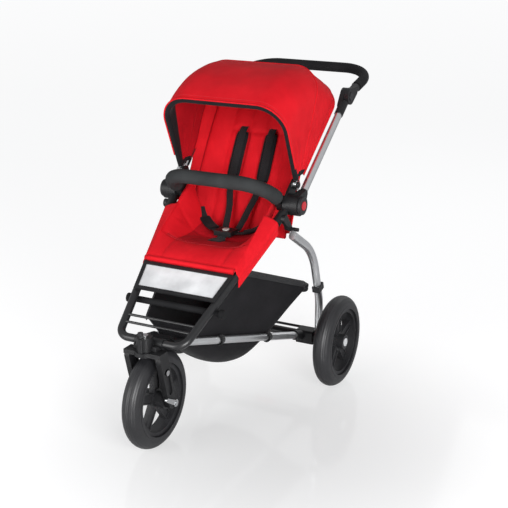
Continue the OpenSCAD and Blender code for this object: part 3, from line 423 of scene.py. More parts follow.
def makeStitchTree():
    tree = bpy.data.node_groups.new("stitchRow", "GeometryNodeTree")
    face = tree.interface
    face.new_socket("Geometry", in_out="INPUT", socket_type="NodeSocketGeometry")
    inputs = {}
    for label, kind in (("Spacing", "Float"), ("Stitch Length", "Float"), ("Stitch Radius", "Float"),
                        ("Thread", "Material")):
        socket = face.new_socket(label, in_out="INPUT", socket_type="NodeSocket" + kind)
        inputs[label] = socket.identifier
    face.new_socket("Geometry", in_out="OUTPUT", socket_type="NodeSocketGeometry")
    source = addNode(tree, "NodeGroupInput")
    out = addNode(tree, "NodeGroupOutput")
    line = addNode(tree, "GeometryNodeMeshToCurve")
    even = addNode(tree, "GeometryNodeResampleCurve", {"mode": "LENGTH"})
    thread = addNode(tree, "GeometryNodeMeshCylinder", Vertices=threadSides)
    place = addNode(tree, "GeometryNodeInstanceOnPoints")
    turn = addNode(tree, "FunctionNodeAlignRotationToVector", {"axis": "Z"})
    tangent = addNode(tree, "GeometryNodeInputTangent")
    real = addNode(tree, "GeometryNodeRealizeInstances")
    finish = addNode(tree, "GeometryNodeSetMaterial")
    for a, output, b, entry in (
            (source, "Geometry", line, "Mesh"), (line, "Curve", even, "Curve"),
            (source, "Spacing", even, "Length"), (even, "Curve", place, "Points"),
            (source, "Stitch Length", thread, "Depth"), (source, "Stitch Radius", thread, "Radius"),
            (thread, "Mesh", place, "Instance"), (tangent, "Tangent", turn, "Vector"),
            (turn, "Rotation", place, "Rotation"), (place, "Instances", real, "Geometry"),
            (real, "Geometry", finish, "Geometry"), (source, "Thread", finish, "Material"),
            (finish, "Geometry", out, "Geometry")):
        link(a.outputs[output], b.inputs[entry])
    return tree, inputs


stitchTree, stitchInputs = makeStitchTree()


def sewLines(name, lines, body):
    # one row of stitches along each line, as one mesh
    points, edges = [], []
    for line in lines:
        first = len(points)
        points += [tuple(p) for p in line]
        edges += [(first + k, first + k + 1) for k in range(len(line) - 1)]
    mesh = bpy.data.meshes.new(name)
    mesh.from_pydata(points, edges, [])
    piece = addObject(name, mesh)
    sewn = piece.modifiers.new("stitches", "NODES")
    sewn.node_group = stitchTree
    for label, value in stitching.items():
        sewn[stitchInputs[label]] = value
    sewn[stitchInputs["Thread"]] = redThread
    applyModifiers(piece)
    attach(piece, body)


print("helpers ready")


# Places that the pieces are set out from

foldPoint, hoodPoint, creasePoint, axlePoint = (
    Vector(joints[name]["pos_m"]) for name in ("frame_fold", "hood_fold", "back_recline", "leg_fold"))

seatTubes = {
    "slope": radians(32.5), "frontHalf": 0.108, "sideHalf": 0.202, "length": 0.582, "radius": 0.012,
}


def tubeHeight(y):
    return foldPoint.z + (y - foldPoint.y) * tan(seatTubes["slope"])


def tubeHalf(y):
    spread = (seatTubes["sideHalf"] - seatTubes["frontHalf"]) / seatTubes["length"]
    return seatTubes["frontHalf"] + (y - foldPoint.y) / cos(seatTubes["slope"]) * spread


def sideDirection(degrees):
    # a direction in the side view, up from the rear
    return Vector((0, cos(radians(degrees)), sin(radians(degrees))))


# Hood

hood = {
    # for the front bow, the middle bow, the rear bow and the hem
    "reach": (0.276, 0.368, 0.398, 0.398), "lean": (114.0, 65.0, 42.0, 38.0), "sag": (0.006, 0.009, 0.0),
    "half": 0.212, "over": 0.008, "bend": 0.088, "bendEase": 0.005, "low": 0.020, "lowStep": 0.011,
    "across": 120, "cloth": 0.0016, "liningDrop": 0.0135, "foldDepth": 0.0022, "rippleDepth": 0.0011,
    "rimHigh": 0.0088, "rimWide": 0.0072, "rimSides": 16, "rimBand": 0.24, "cornerShare": 0.018,
    "piping": 0.0021, "pipingLift": 0.0004, "rimPiping": 0.0026, "rimPipingLift": 0.0022, "rimPipingOut": 0.0035,
    "hemAt": 2.97, "hemSize": (0.009, 0.003), "sewnLift": 0.0002,
    "seams": (("hoodSeams", "middle_bow", (0.965, 1.035)), ("hoodRimSeam", "front_bow", (0.055,))),
    "sleeveFrom": 0.024, "sleeveOver": 0.006, "sleeveInset": 0.0028, "sleeveRadius": 0.0036,
    # two pairs of points on a line through the hinge, worked out for the rear and the front panels
    "parting": 155, "rearBlend": (-0.05, -0.001), "frontBlend": (-0.0834, 0.12),
}


def archPoint(f, half, reach, low, bend):
    up, turn, flat = reach - bend - low, pi * bend / 2, 2 * (half - bend)
    run = f * (2 * up + 2 * turn + flat)
    if run < up:
        return -half, low + run
    if run < up + turn:
        a = (run - up) / bend
        return -half + bend * (1 - cos(a)), low + up + bend * sin(a)
    if run < up + turn + flat:
        return -half + bend + run - up - turn, reach
    if run < up + 2 * turn + flat:
        a = (run - up - turn - flat) / bend
        return half - bend + bend * sin(a), reach - bend * (1 - cos(a))
    return half, low + 2 * up + 2 * turn + flat - run


def fromHinge(x, r, angle):
    return Vector((x, hoodPoint.y + r * cos(angle), hoodPoint.z + r * sin(angle)))


def hoodSpot(g, f, lift=0.0):
    # g runs from the front bow (0) over the middle bow (1) to the rear bow (2), f from side to side
    k = min(int(g), 2)
    e = g - k
    reach = hood["reach"][k] * (1 - e) + hood["reach"][k + 1] * e
    angle = radians(hood["lean"][k] * (1 - e) + hood["lean"][k + 1] * e)
    between = sin(pi * min(1, max(0, e)))
    top = sin(pi * f) ** 0.7 if 0 < f < 1 else 0.0
    drop = hood["sag"][k] * between * (0.35 + 0.65 * top)
    # soft folds that run from the lower corners towards the bows
    side = 1 - top
    fold = noise.noise(Vector((f * 9.0, g * 5.0, 3.1))) * hood["foldDepth"] * between
    fold += sin(g * 17.0 + cos(f * 6.283) * 2.0) * hood["rippleDepth"] * side * between
    reach += hood["over"] - drop + fold + lift
    low = hood["low"] + hood["lowStep"] * min(g, 2)
    bend = hood["bend"] + hood["over"] - hood["bendEase"] + lift
    x, r = archPoint(f, hood["half"] + lift + fold * side, reach, low, bend)
    return fromHinge(x, r, angle)


def makeHoodPanel(name, gFrom, gTo, gSteps, lift, cloth, band):
    # black at its lower corners, and in front of g = band
    across = hood["across"]
    rows = [[hoodSpot(g, f, lift) for f in steps(0, 1, across)] for g in steps(gFrom, gTo, gSteps)]

    def isSecond(index):
        i, j = divmod(index, across)
        g, f = gFrom + (gTo - gFrom) * (i + 0.5) / gSteps, (j + 0.5) / across
        return min(f, 1 - f) < hood["cornerShare"] or g < band

    panel, area = makeSheet(name, rows, hood["cloth"], -1.0, (cloth, blackCloth), isSecond)
    wide = runs(rows[gSteps // 2])[-1]
    return panel


def makeHoodCloth():
    along = sideDirection(hood["parting"])
    rearLine = [hoodPoint + along * run for run in hood["rearBlend"]]
    frontLine = [hoodPoint + along * run for run in hood["frontBlend"]]
    for label, lift, cloth, band in (("hood", 0.0, redCloth, 0.0),
                                     ("lining", -hood["liningDrop"], liningAndShadeCloth, hood["rimBand"])):
        rear = makeHoodPanel(label + "Rear", 1.0, 2.0, 22, lift, cloth, band)
        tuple(rearLine[0])
        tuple(rearLine[1])
        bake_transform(rear)
        front = makeHoodPanel(label + "Front", 0.0, 1.0, 30, lift, cloth, band)
        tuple(frontLine[0])
        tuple(frontLine[1])
        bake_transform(front)
        if label == "hood":
            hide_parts("canopy")
    skirt = makeHoodPanel("hoodSkirt", 2.0, 3.0, 6, 0.0, redCloth, 0.0)
    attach(skirt, "seat_frame")


def rimRing(f):
    # one ring of the sleeve round the front bow
    middle = hoodSpot(0.0, f, -hood["liningDrop"] / 2)
    up = (hoodSpot(0.0, f, 0.01) - middle).normalized()
    ahead = (hoodSpot(0.0, min(1, f + 0.004)) - hoodSpot(0.0, max(0, f - 0.004))).normalized()
    side = ahead.cross(up).normalized()
    return [middle + up * hood["rimHigh"] * sin(a) + side * hood["rimWide"] * cos(a)
            for a in turns(hood["rimSides"])]


def makeHoodTrim():
    # the sleeve round the front rim, the piping on it and over the middle bow, and the rear hem
    fs = steps(0, 1, hood["across"])
    carry(makeTube("hoodBinding", [rimRing(f) for f in fs], blackCloth), "front_bow")
    out = sideDirection(hood["lean"][0] + 90) * hood["rimPipingOut"]
    rimPath = [hoodSpot(0.0, f, hood["rimPipingLift"]) + out for f in fs[6:-6]]
    carry(makeCord("hoodRimPiping", rimPath, hood["rimPiping"], redCloth), "front_bow")
    path = [hoodSpot(1.0, f, hood["pipingLift"]) for f in fs[4:-4]]
    carry(makeCord("hoodPiping", path, hood["piping"], redCloth), "middle_bow")
    hemPath = [hoodSpot(hood["hemAt"], f, hood["sewnLift"]) for f in fs]
    hemUps = [surfaceUp(hoodSpot, hood["hemAt"], f) for f in fs]
    carry(makeBand("hoodHem", hemPath, hemUps, *hood["hemSize"], redCloth), "seat_frame")
    for name, body, places in hood["seams"]:
        sewLines(name, [[hoodSpot(g, f, hood["sewnLift"]) for f in fs[3:-3]] for g in places], body)


def makeBowSleeves():
    # black sleeves on the bows' legs, between the cloth and the hinge
    for k, (node, body) in enumerate((("front_hoop", "front_bow"), ("mid_hoop", "middle_bow"),
                                      ("rear_hoop", "seat_frame"))):
        half = max(abs(corner[0]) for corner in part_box(node)) - hood["sleeveInset"]
        angle = radians(hood["lean"][k])
        low = hood["low"] + hood["lowStep"] * k + hood["sleeveOver"]
        parts = []
        for side in (-1, 1):
            path = [fromHinge(side * half, r, angle)
                    for r in (hood["sleeveFrom"], (hood["sleeveFrom"] + low) / 2, low)]
            parts.append(makeCord("bowSleeve", path, hood["sleeveRadius"], blackCloth))
        carry(joinPieces("bowSleeves" + str(k), parts), body)


makeHoodCloth()
makeHoodTrim()
makeBowSleeves()
print("hood ready")


# Padded covers

padding = {
    "edgeWidth": 0.028, "heldEdge": 0.97, "heldSeam": 0.0045, "frames": 20,
    "cloth": {"quality": 6, "mass": 0.2, "tension_stiffness": 12, "compression_stiffness": 12,
              "bending_stiffness": 0.4, "use_pressure": True, "vertex_group_mass": "sewn"},
}


def paddedMesh(name, spot, us, vs, seamDistance, pad):
    # a closed pad between two skins; spot(u, v, lift) is the surface
    rows = []
    for v in vs:
        top, bottom = [], []
        for u in us:
            edge = min((1 - abs(u)) * pad["edgeHalf"], (v - vs[0]), (vs[-1] - v))
            t = min(1.0, max(0.0, edge / padding["edgeWidth"]))
            full = pad["edgeThick"] + (pad["thick"] - pad["edgeThick"]) * sqrt(1 - (1 - t) ** 2)
            groove = pad["channelDepth"] * exp(-(seamDistance(u, v) / pad["channelWidth"]) ** 2)
            top.append(spot(u, v, pad["thick"] / 2 + full / 2 * (1 - groove)))
            bottom.append(spot(u, v, pad["thick"] / 2 - full / 2))
        rows.append(top + list(reversed(bottom)))
    mesh = gridMesh(name, rows, wrap=True)
    count = len(rows[0])
    closeEnds(mesh, [(base + j, base + j + 1, base + count - 2 - j, base + count - 1 - j)
                     for base in (0, (len(rows) - 1) * count) for j in range(len(us) - 1)])
    return mesh


def puffUp(piece, us, vs, seamDistance, pad):
    # air pressure swells the top skin between its edges and its seams
    count = 2 * len(us)
    held = []
    for i, v in enumerate(vs):
        for j in range(count):
            free = j < len(us) and 0 < i < len(vs) - 1 and abs(us[j]) <= padding["heldEdge"]
            if not free or seamDistance(us[j], v) < padding["heldSeam"]:
                held.append(i * count + j)
    mesh = piece.data
    rest = [v.co.copy() for v in mesh.vertices]
    group = piece.vertex_groups.new(name="sewn")
    group.add(held, 1.0, "REPLACE")
    cloth = piece.modifiers.new("cloth", "CLOTH")
    for key, value in padding["cloth"].items():
        setattr(cloth.settings, key, value)
    cloth.settings.uniform_pressure_force = pad["pressure"]
    cloth.settings.effector_weights.gravity = 0
    cloth.collision_settings.use_collision = False
    cloth.point_cache.frame_start = 1
    cloth.point_cache.frame_end = padding["frames"]
    scene = bpy.context.scene
    for step in range(1, padding["frames"] + 1):
        scene.frame_set(step)
    swollen = piece.evaluated_get(bpy.context.evaluated_depsgraph_get()).to_mesh()
    moved = [v.co.copy() for v in swollen.vertices]
    piece.modifiers.clear()
    piece.vertex_groups.clear()
    scene.frame_set(1)
    for vertex, before, after in zip(mesh.vertices, rest, moved):
        push = after - before
        if push.length > pad["cap"]:
            push *= pad["cap"] / push.length
        vertex.co = before + push
    mesh.update()


# Seat

seat = {
    # places along the seat and how far the cushion hangs below the seat tubes there
    "rows": [(-0.258466, -0.015), (-0.217466, -0.008), (-0.172466, 0.012), (-0.127466, 0.050),
             (-0.072466, 0.092), (-0.017466, 0.118), (0.033534, 0.156)],
    "half": 0.158, "overTube": 0.004, "rimLift": 0.015, "thick": 0.019, "edgeHalf": 0.14, "edgeThick": 0.006,
    "channelDepth": 0.45, "channelWidth": 0.006, "pressure": 4.0, "cap": 0.006,
    "crease": -0.163, "creaseRadius": 0.0022, "panel": 0.66, "crossSeam": -0.06, "crossFrom": -0.15, "crossTo": 0.03,
    "stitchesAt": (-0.1585, -0.1675), "sewnTo": 0.84,
    "hemAt": -0.2645, "hemLift": 0.0292, "hemRadius": 0.0076, "hemEnd": 0.0015, "flapCloth": 0.0014,
    # each row of the flap: how far in from the hem, how high, and how much narrower at each end
    "flap": ((0.0035, 0.026, 0.001), (0.0042, 0.018, 0.001), (0.0045, 0.014, 0.005), (0.0048, 0.009, 0.0135),
             (0.005, 0.0, 0.0145), (0.005, -0.006, 0.0145)),
}


def seatDrop(y):
    rows = seat["rows"]
    if y <= rows[0][0]:
        return rows[0][1]
    for (y0, d0), (y1, d1) in zip(rows, rows[1:]):
        if y <= y1:
            return d0 + (d1 - d0) * (y - y0) / (y1 - y0)
    return rows[-1][1]


def seatHalf(y):
    return min(tubeHalf(y) + seat["overTube"], seat["half"])


def seatSpot(u, y, lift=0.0):
    drop = sum(seatDrop(y + 0.012 * k) for k in (-1, 0, 1)) / 3
    low = tubeHeight(y) - drop
    edge = max(tubeHeight(y) + seat["rimLift"], low)
    return Vector((u * seatHalf(y), y, low + (edge - low) * abs(u) ** 4 + lift))


def seatSeam(u, y):
    # how far a place is from the nearest seam
    near = [abs(y - seat["crease"]), abs(abs(u) - seat["panel"]) * seatHalf(y)]
    if seat["crossFrom"] < y < seat["crossTo"]:
        near.append(abs(y - seat["crossSeam"]))
    return min(near)


def makeSeatCover():
    us = steps(-1, 1, 56)
    vs = steps(seat["rows"][0][0] + 0.001, seat["rows"][-1][0] - 0.001, 56)
    piece = addPiece("seatCover", paddedMesh("seatCover", seatSpot, us, vs, seatSeam, seat), redCloth, liningAndShadeCloth)
    # the seat's middle behind the crease takes the darker red as painted shade, the rest the brighter red
    for face in piece.data.polygons:
        spot = face.center
        inside = abs(spot.x) < seat["panel"] * seatHalf(spot.y)
        face.material_index = 1 if spot.y > seat["crease"] and inside else 0
    puffUp(piece, us, vs, seatSeam, seat)
    carry(piece, "seat_frame", replaces="seat_pad")


def makeSeatTrim():
    sewn = seat["sewnTo"]
    lines = [[seatSpot(u, y, seat["thick"] * 0.93) for u in steps(-sewn, sewn, 60)] for y in seat["stitchesAt"]]
    sewLines("seatStitches", lines, "seat_frame")
    half = tubeHalf(seat["hemAt"]) + seat["hemEnd"]
    high = tubeHeight(seat["hemAt"])
    path = [Vector((x, seat["hemAt"], high + seat["hemLift"])) for x in steps(-half, half, 20)]
    carry(makeCord("seatHem", path, seat["hemRadius"], redCloth), "seat_frame")
    # the front flap, which tucks down behind the panel's frame
    half = tubeHalf(seat["hemAt"])
    rows = [[Vector((x, seat["hemAt"] + inward, high + up)) for x in steps(narrow - half, half - narrow, 30)]
            for inward, up, narrow in seat["flap"]]
    layCloth("seatFlap", rows, seat["flapCloth"], "seat_frame", 2 * half)
    # the darker red cord along the crease paints the shade line at the seat's front edge
    path = [seatSpot(u, seat["crease"], seat["thick"] * 0.86) for u in steps(-sewn, sewn, 50)]
    carry(makeCord("seatCrease", path, seat["creaseRadius"], liningAndShadeCloth), "seat_frame")


drape = {
    "clear": 0.0022, "cloth": 0.0018, "hemRadius": 0.0024, "yFrom": -0.2575, "yTo": -0.071,
    "round": (62, 40, 18, -4, -26), "stitchOut": 0.0012,
}


def drapeRow(side, y):
    # from the seat's edge, over the seat tube and down its outer side
    r = seatTubes["radius"] + drape["clear"]
    tall = r / cos(seatTubes["slope"])
    x0, z0 = tubeHalf(y), tubeHeight(y)
    edge = seatSpot(1, y, seat["thick"] * 0.75)
    startX = min(edge.x - 0.004, x0 + 0.001)
    path = [Vector((startX, y, max(edge.z - 0.001, z0 + tall)))]
    ridge = max(edge.z * 0.5 + (z0 + tall) * 0.5, z0 + tall + 0.0005)
    path.append(Vector(((startX + x0) / 2 + 0.004, y, ridge)))
    for a in drape["round"]:
        path.append(Vector((x0 + r * cos(radians(a)), y, z0 + tall * sin(radians(a)))))
    path.append(Vector((x0 + r * 0.93, y, z0 - tall * 0.95 - 0.004)))
    path.append(Vector((x0 + r * 0.90, y, z0 - tall * 0.95 - 0.008)))
    return [Vector((side * p.x, p.y, p.z)) for p in spline(path, 4)]


def makeDrapes():
    for side, label in ((1, "Left"), (-1, "Right")):
        rows = [drapeRow(side, y) for y in steps(drape["yFrom"], drape["yTo"], 48)]
        layCloth("seatDrape" + label, rows, drape["cloth"], "seat_frame", runs(rows[24])[-1])
        carry(makeCord("drapeHem" + label, [row[-1] for row in rows], drape["hemRadius"], redCloth), "seat_frame")
        out = Vector((side * drape["stitchOut"], 0, 0))
        sewLines("drapeStitches" + label, [[row[-5] + out for row in rows[1:-1]]], "seat_frame")


makeSeatCover()
makeSeatTrim()
makeDrapes()
print("seat ready")


# Back

back = {
    "length": 0.470, "half": 0.168, "narrowing": 0.020, "slope": radians(62), "wing": 0.030, "thick": 0.019,
    "edgeHalf": 0.16, "edgeThick": 0.006, "channelDepth": 0.5, "channelWidth": 0.006, "pressure": 4.0, "cap": 0.007,
    "seams": (0.16, 0.335), "panel": 0.6, "stripe": 0.2,
    "middleLift": 0.0095, "pipingFrom": 0.006, "pipingTop": 0.4685, "pipingRadius": 0.0034,
    "wingFrom": 0.02, "wingTo": 0.462, "wingHalf": 0.1935, "wingForward": 0.020, "wingCloth": 0.0022,
    "wingHem": 0.0024, "wingRipple": 0.0012,
    "gussetFrom": 0.378, "gussetTo": 0.622, "gussetLow": 0.84, "gussetSag": 0.008, "gussetCloth": 0.0018,
}


def backSpot(u, s, lift=0.0):
    f = lift + back["wing"] * min(1, s / 0.15) * abs(u) ** 3
    half = back["half"] - back["narrowing"] * (s / back["length"]) ** 3
    return Vector((u * half, creasePoint.y + s * cos(back["slope"]) - f * sin(back["slope"]),
                   creasePoint.z + s * sin(back["slope"]) + f * cos(back["slope"])))


def backSeam(u, s):
    near = [abs(abs(u) - back["panel"]) * back["half"], abs(abs(u) - back["stripe"]) * back["half"]]
    if abs(u) < back["panel"]:
        near += [abs(s - seam) for seam in back["seams"]]
    return min(near)


def makeBackCover():
    us = steps(-1, 1, 60)
    vs = steps(0.004, back["length"] - 0.001, 84)
    piece = addPiece("backCover", paddedMesh("backCover", backSpot, us, vs, backSeam, back), redCloth)
    puffUp(piece, us, vs, backSeam, back)
    carry(piece, "back", replaces="back_pad")
    lift, low, high = back["middleLift"], back["pipingFrom"], back["wingTo"]
    outline = [backSpot(-1, s, lift) for s in steps(low, high, 60)]
    outline += [backSpot(u, back["pipingTop"], lift) for u in steps(-0.97, 0.97, 50)]
    outline += [backSpot(1, s, lift) for s in steps(high, low, 60)]
    carry(makeCord("backPiping", outline, back["pipingRadius"], liningAndShadeCloth), "back")


def wingRow(side, s):
    # from the back's edge out towards the hood
    edge = backSpot(side * 0.985, s, back["middleLift"])
    share = sqrt(max(0.02, min(1.0, (back["length"] - s) / 0.05, (s + 0.005) / 0.05)))
    reach = (back["wingHalf"] - abs(edge.x)) * share
    row = []
    for t in steps(0, 1, 10):
        ahead = back["wingForward"] * share * t ** 1.6 + back["wingRipple"] * sin(s * 60) * t
        row.append(edge + Vector((side * reach * t, -ahead * sin(back["slope"]),
                                  ahead * cos(back["slope"]))))
    return row


def makeWings():
    for side, label in ((1, "Left"), (-1, "Right")):
        rows = [wingRow(side, s) for s in steps(back["wingFrom"], back["wingTo"], 70)]
        length = runs([row[5] for row in rows])[-1]
        layCloth("backWing" + label, rows, back["wingCloth"], "back", length)
        carry(makeCord("wingHem" + label, [row[-1] for row in rows], back["wingHem"], redCloth), "back")


def makeRearPanel():
    # the gusset from the rear bow down to the top of the back
    top = [hoodSpot(2.0, f, -0.010) for f in steps(back["gussetFrom"], back["gussetTo"], 40)]
    ends = back["gussetLow"]
    low = [backSpot(u, back["length"] - 0.001, 0.002) for u in steps(-ends, ends, 40)]
    rows = []
    for t in steps(0, 1, 14):
        sag = back["gussetSag"] * sin(pi * t)
        rows.append([a.lerp(b, t) + Vector((0, sag, -sag * 0.5)) for a, b in zip(top, low)])
    piece = layCloth("rearGusset", rows, back["gussetCloth"], None, runs(rows[7])[-1])
    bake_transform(piece)


makeBackCover()
makeWings()
makeRearPanel()
print("back ready")


# Harness

harness = {
    # straps and pads as stops on the cushions: (across, along, lift) or (along, lift)
    "spread": 0.32, "strapWidth": 0.025, "strapThick": 0.0016, "padLift": 0.0015,
    "padSize": (0.044, 0.010), "padFrom": 0.172, "padTo": 0.33,
    "shoulder": ((0.176, 0.0105), (0.22, 0.0112), (0.28, 0.0112), (0.325, 0.0105), (0.345, 0.004), (0.352, -0.006)),
    "buckleY": -0.034466, "buckleLift": 0.009,
    "crotch": ((0, -0.122, -0.004), (0, -0.115, 0.001), (0, -0.09, 0.001)), "crotchWidth": 0.030,
    "crotchPad": ((0, -0.118, 0), (0, -0.1, 0), (0, -0.07, 0.001)), "crotchPadSize": (0.046, 0.005),
    "hip": ((0.80, 0.030, -0.006), (0.70, 0.018, 0.002), (0.45, -0.004, 0.004)),
    "hipPad": ((0.66, 0.014, 0), (0.5, 0.001, 0), (0.32, -0.014, 0)), "hipPadSize": (0.04, 0.007),
    "lower": ((1.0, 0.188, 0.0107), (0.92, 0.135, 0.012), (0.66, 0.078, 0.017)), "lowerNarrow": 0.9,
    "slider": (0.146, 0.158, 0.170), "sliderSpread": 0.97, "sliderLift": 0.0095, "sliderSize": (0.034, 0.0045),
}


def strapOn(point, stops, lift, count=12, side=1):
    # a strap's path over a surface, from stop to stop, each stop being (u, v, extra lift)
    path, ups = [], []
    for u, v, extra in spline([Vector((side * u, v, extra)) for u, v, extra in stops], count):
        path.append(point(u, v, lift + extra))
        ups.append(surfaceUp(point, u, v))
    return path, ups


def makeStrap(name, path, ups, width=harness["strapWidth"]):
    return makeBand(name, path, ups, width, harness["strapThick"], webbing)


def makePad(name, path, ups, width, thickness, material=blackCloth):
    # a soft pad with rounded ends along a path
    rows = []
    n = len(path)
    for i, (spot, up) in enumerate(zip(path, ups)):
        t = i / (n - 1)
        share = max(0.12, (1 - abs(2 * t - 1) ** 6)) ** 0.5
        ahead = (path[min(i + 1, n - 1)] - path[max(i - 1, 0)]).normalized()
        side = ahead.cross(up).normalized()
        w, h = width / 2 * (0.7 + 0.3 * share), thickness * share
        ring = []
        for a in turns(20):
            x, y = cos(a), sin(a)
            ring.append(spot + side * w * copysign(abs(x) ** 0.6, x)
                        + up * (h / 2 + h / 2 * copysign(abs(y) ** 0.7, y)))
        rows.append(ring)
    return makeTube(name, rows, material)


def makeShoulderStraps():
    top = back["thick"]
    pads, straps = [], []
    for side in (-1, 1):
        u = side * harness["spread"]
        stops = [(u, s, 0) for s in steps(harness["padFrom"], harness["padTo"], 4)]
        path, ups = strapOn(backSpot, stops, top + harness["padLift"], 8)
        pads.append(makePad("shoulderPad", path, ups, *harness["padSize"]))
        stops = [(u, s, extra) for s, extra in harness["shoulder"]]
        straps.append(makeStrap("shoulderStrap", *strapOn(backSpot, stops, top, 8)))
    carry(joinPieces("shoulderPads", pads), "back", replaces="shoulder_pads")
    carry(joinPieces("shoulderStraps", straps), "back")


def makeSeatStraps():
    # between the legs and from both hips, with their pads
    lift = seat["thick"] + harness["padLift"]
    y = harness["buckleY"]
    path, ups = strapOn(seatSpot, harness["crotch"] + ((0, y - 0.02, 0.006),), lift, 10)
    straps = [makeStrap("crotchStrap", path, ups, harness["crotchWidth"])]
    path, ups = strapOn(seatSpot, harness["crotchPad"], lift + 0.0005)
    crotchPad = makePad("crotchPad", path, ups, *harness["crotchPadSize"])
    pads = []
    hip = harness["hip"] + ((0.16, y + 0.004, 0.008),)
    for side in (-1, 1):
        straps.append(makeStrap("hipStrap", *strapOn(seatSpot, hip, lift, side=side)))
        path, ups = strapOn(seatSpot, harness["hipPad"], lift + 0.0045, side=side)
        pads.append(makePad("hipPad", path, ups, *harness["hipPadSize"]))
    carry(joinPieces("seatStraps", straps), "seat_frame", replaces="crotch_strap")
    carry(joinPieces("hipPads", pads + [crotchPad]), "seat_frame")


def makeLowerStraps():
    # from under the shoulder pads down to the buckle, free of the cushions
    y = harness["buckleY"]
    buckle = seatSpot(0, y, seat["thick"] + harness["buckleLift"])
    seatUp = surfaceUp(seatSpot, 0, y)
    straps = []
    for side in (-1, 1):
        u = side * harness["spread"]
        points = [backSpot(u * share, s, back["thick"] + extra) for share, s, extra in harness["lower"]]
        points += [buckle + Vector((side * 0.024, 0.044, 0.010)), buckle + Vector((side * 0.017, 0.016, 0.001))]
        ups = [surfaceUp(backSpot, u, s) for share, s, extra in harness["lower"]]
        ups += [(seatUp + ups[-1]).normalized(), seatUp]
        path = spline(points, 10)
        ups = [up.normalized() for up in spline(ups, 10)]
        straps.append(makeStrap("lowerStrap", path, ups, harness["strapWidth"] * harness["lowerNarrow"]))
    piece = joinPieces("lowerStraps", straps)
    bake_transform(piece)


def makeSliders():
    # a slider on each shoulder strap
    sliders = []
    for side in (-1, 1):
        u = side * harness["spread"] * harness["sliderSpread"]
        stops = [(u, s, 0) for s in harness["slider"]]
        path, ups = strapOn(backSpot, stops, back["thick"] + harness["sliderLift"], 6)
        sliders.append(makePad("strapSlider", path, ups, *harness["sliderSize"], blackPlastic))
    carry(joinPieces("strapSliders", sliders), "back")


makeShoulderStraps()
makeSeatStraps()
makeLowerStraps()
makeSliders()
print("harness ready")


# Basket

basket = {
    "from": -0.368466, "to": 0.145534, "rearTop": 0.342, "rearHalf": 0.196, "sag": 0.088, "cloth": 0.0018,
    "underRail": 0.010, "rearRise": 0.024, "riseFrom": 0.6, "underSeat": 0.052, "topSlope": 0.4, "frontIn": 0.045,
    "tube": 0.012, "tubeGap": 0.0073, "ripple": 0.004, "rows": 44, "foldKeep": 0.18,
    "rimSize": (0.02, 0.003), "loopsAt": (-0.230, -0.010), "loopRadius": 0.0145, "loopSize": (0.020, 0.0016),
}
railEnds = {"frontHalf": 0.040, "rearHalf": 0.178, "frontY": foldPoint.y + 0.060, "frontZ": foldPoint.z - 0.017}


def railAt(y):
    t = (axlePoint.y - y) / (axlePoint.y - railEnds["frontY"])
    return (railEnds["rearHalf"] + t * (railEnds["frontHalf"] - railEnds["rearHalf"]),
            axlePoint.z + t * (railEnds["frontZ"] - axlePoint.z))


def basketRow(f):
    # from the left top edge, in past the rail, under the basket and up the other side
    y = basket["from"] + f * (basket["to"] - basket["from"])
    railX, railZ = railAt(y)
    low = railZ - basket["underRail"] - basket["sag"] * sin(pi * f)
    rise = max(0.0, f - basket["riseFrom"]) / (1 - basket["riseFrom"])
    low += (basket["rearTop"] - axlePoint.z - basket["rearRise"]) * rise ** 1.5
    topZ = min(tubeHeight(y) - basket["underSeat"], basket["rearTop"] + (basket["to"] - y) * basket["topSlope"])
    frontX = tubeHalf(basket["from"]) - basket["frontIn"]
    topX = frontX + f * (basket["rearHalf"] - frontX)
    w = railX - basket["tube"] - basket["tubeGap"]
    bendZ = max(railZ, low + (topZ - low) * 0.3)
    bendX = w + (topX - w) * (bendZ - railZ) / (topZ - railZ)
    half = [(topX, topZ), ((bendX + topX) / 2, (topZ + bendZ) / 2), (bendX, bendZ),
            (bendX * 0.86, bendZ - (bendZ - low) * 0.55), (bendX * 0.5, low + (bendZ - low) * 0.08)]
    points = [Vector((-x, y, z)) for x, z in half] + [Vector((0, y, low))]
    points += [Vector((x, y, z)) for x, z in reversed(half)]
    row = spline(points, 5)
    for k, p in enumerate(row):
        inside = sin(pi * k / (len(row) - 1))
        ripple = noise.noise(Vector((p.x * 9, p.y * 9, p.z * 9))) * basket["ripple"] * inside
        p.z -= abs(ripple * sin(pi * f))
    return row


def makeRailLoops():
    # webbing loops that hang the basket on the rails
    loops = []
    for side in (-1, 1):
        for y in basket["loopsAt"]:
            railX, railZ = railAt(y)
            r = basket["loopRadius"]
            path, ups = [], []
            for a in map(radians, steps(200, 520, 24)):
                ups.append(Vector((side * cos(a), 0, sin(a))))
                path.append(Vector((side * (railX + r * cos(a)), y, railZ + r * sin(a))))
            loops.append(makeBand("railLoop", path, ups, *basket["loopSize"], webbing))
    carry(joinPieces("railLoops", loops), "chassis")


def makeBasket():
    rows = [basketRow(f) for f in steps(0, 1, basket["rows"])]
    first = rows[0]
    n = len(first)
    # the front end folds up to its top edge
    wide = first[-1].x - first[0].x
    rows = [[p.lerp(Vector((first[0].x + wide * k / (n - 1), p.y - 0.002 * lift, first[0].z)), lift)
             for k, p in enumerate(first)] for lift in (1.0, 0.66, 0.33)] + rows
    piece, area = makeSheet("basketCloth", rows, basket["cloth"], 1.0, (blackCloth,))
    width = runs(rows[24])[-1]
    rim = [row[0] for row in rows] + rows[-1][1:] + [row[-1] for row in reversed(rows)][1:]
    ups = [Vector((-1, 0, 0.15)).normalized()] * len(rows) + [Vector((0, 1, 0.1)).normalized()] * (n - 1)
    ups += [Vector((1, 0, 0.15)).normalized()] * (len(rows) - 1)
    binding = makeBand("basketBinding", rim, ups, *basket["rimSize"], webbing)
    # the cloth and its binding ride on the chassis, each with a mesh of its own
    for soft in (piece, binding):
        carry(soft, "chassis")
        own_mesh(soft)
    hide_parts("basket")


makeBasket()
makeRailLoops()
print("basket ready")


# Floor, light and camera

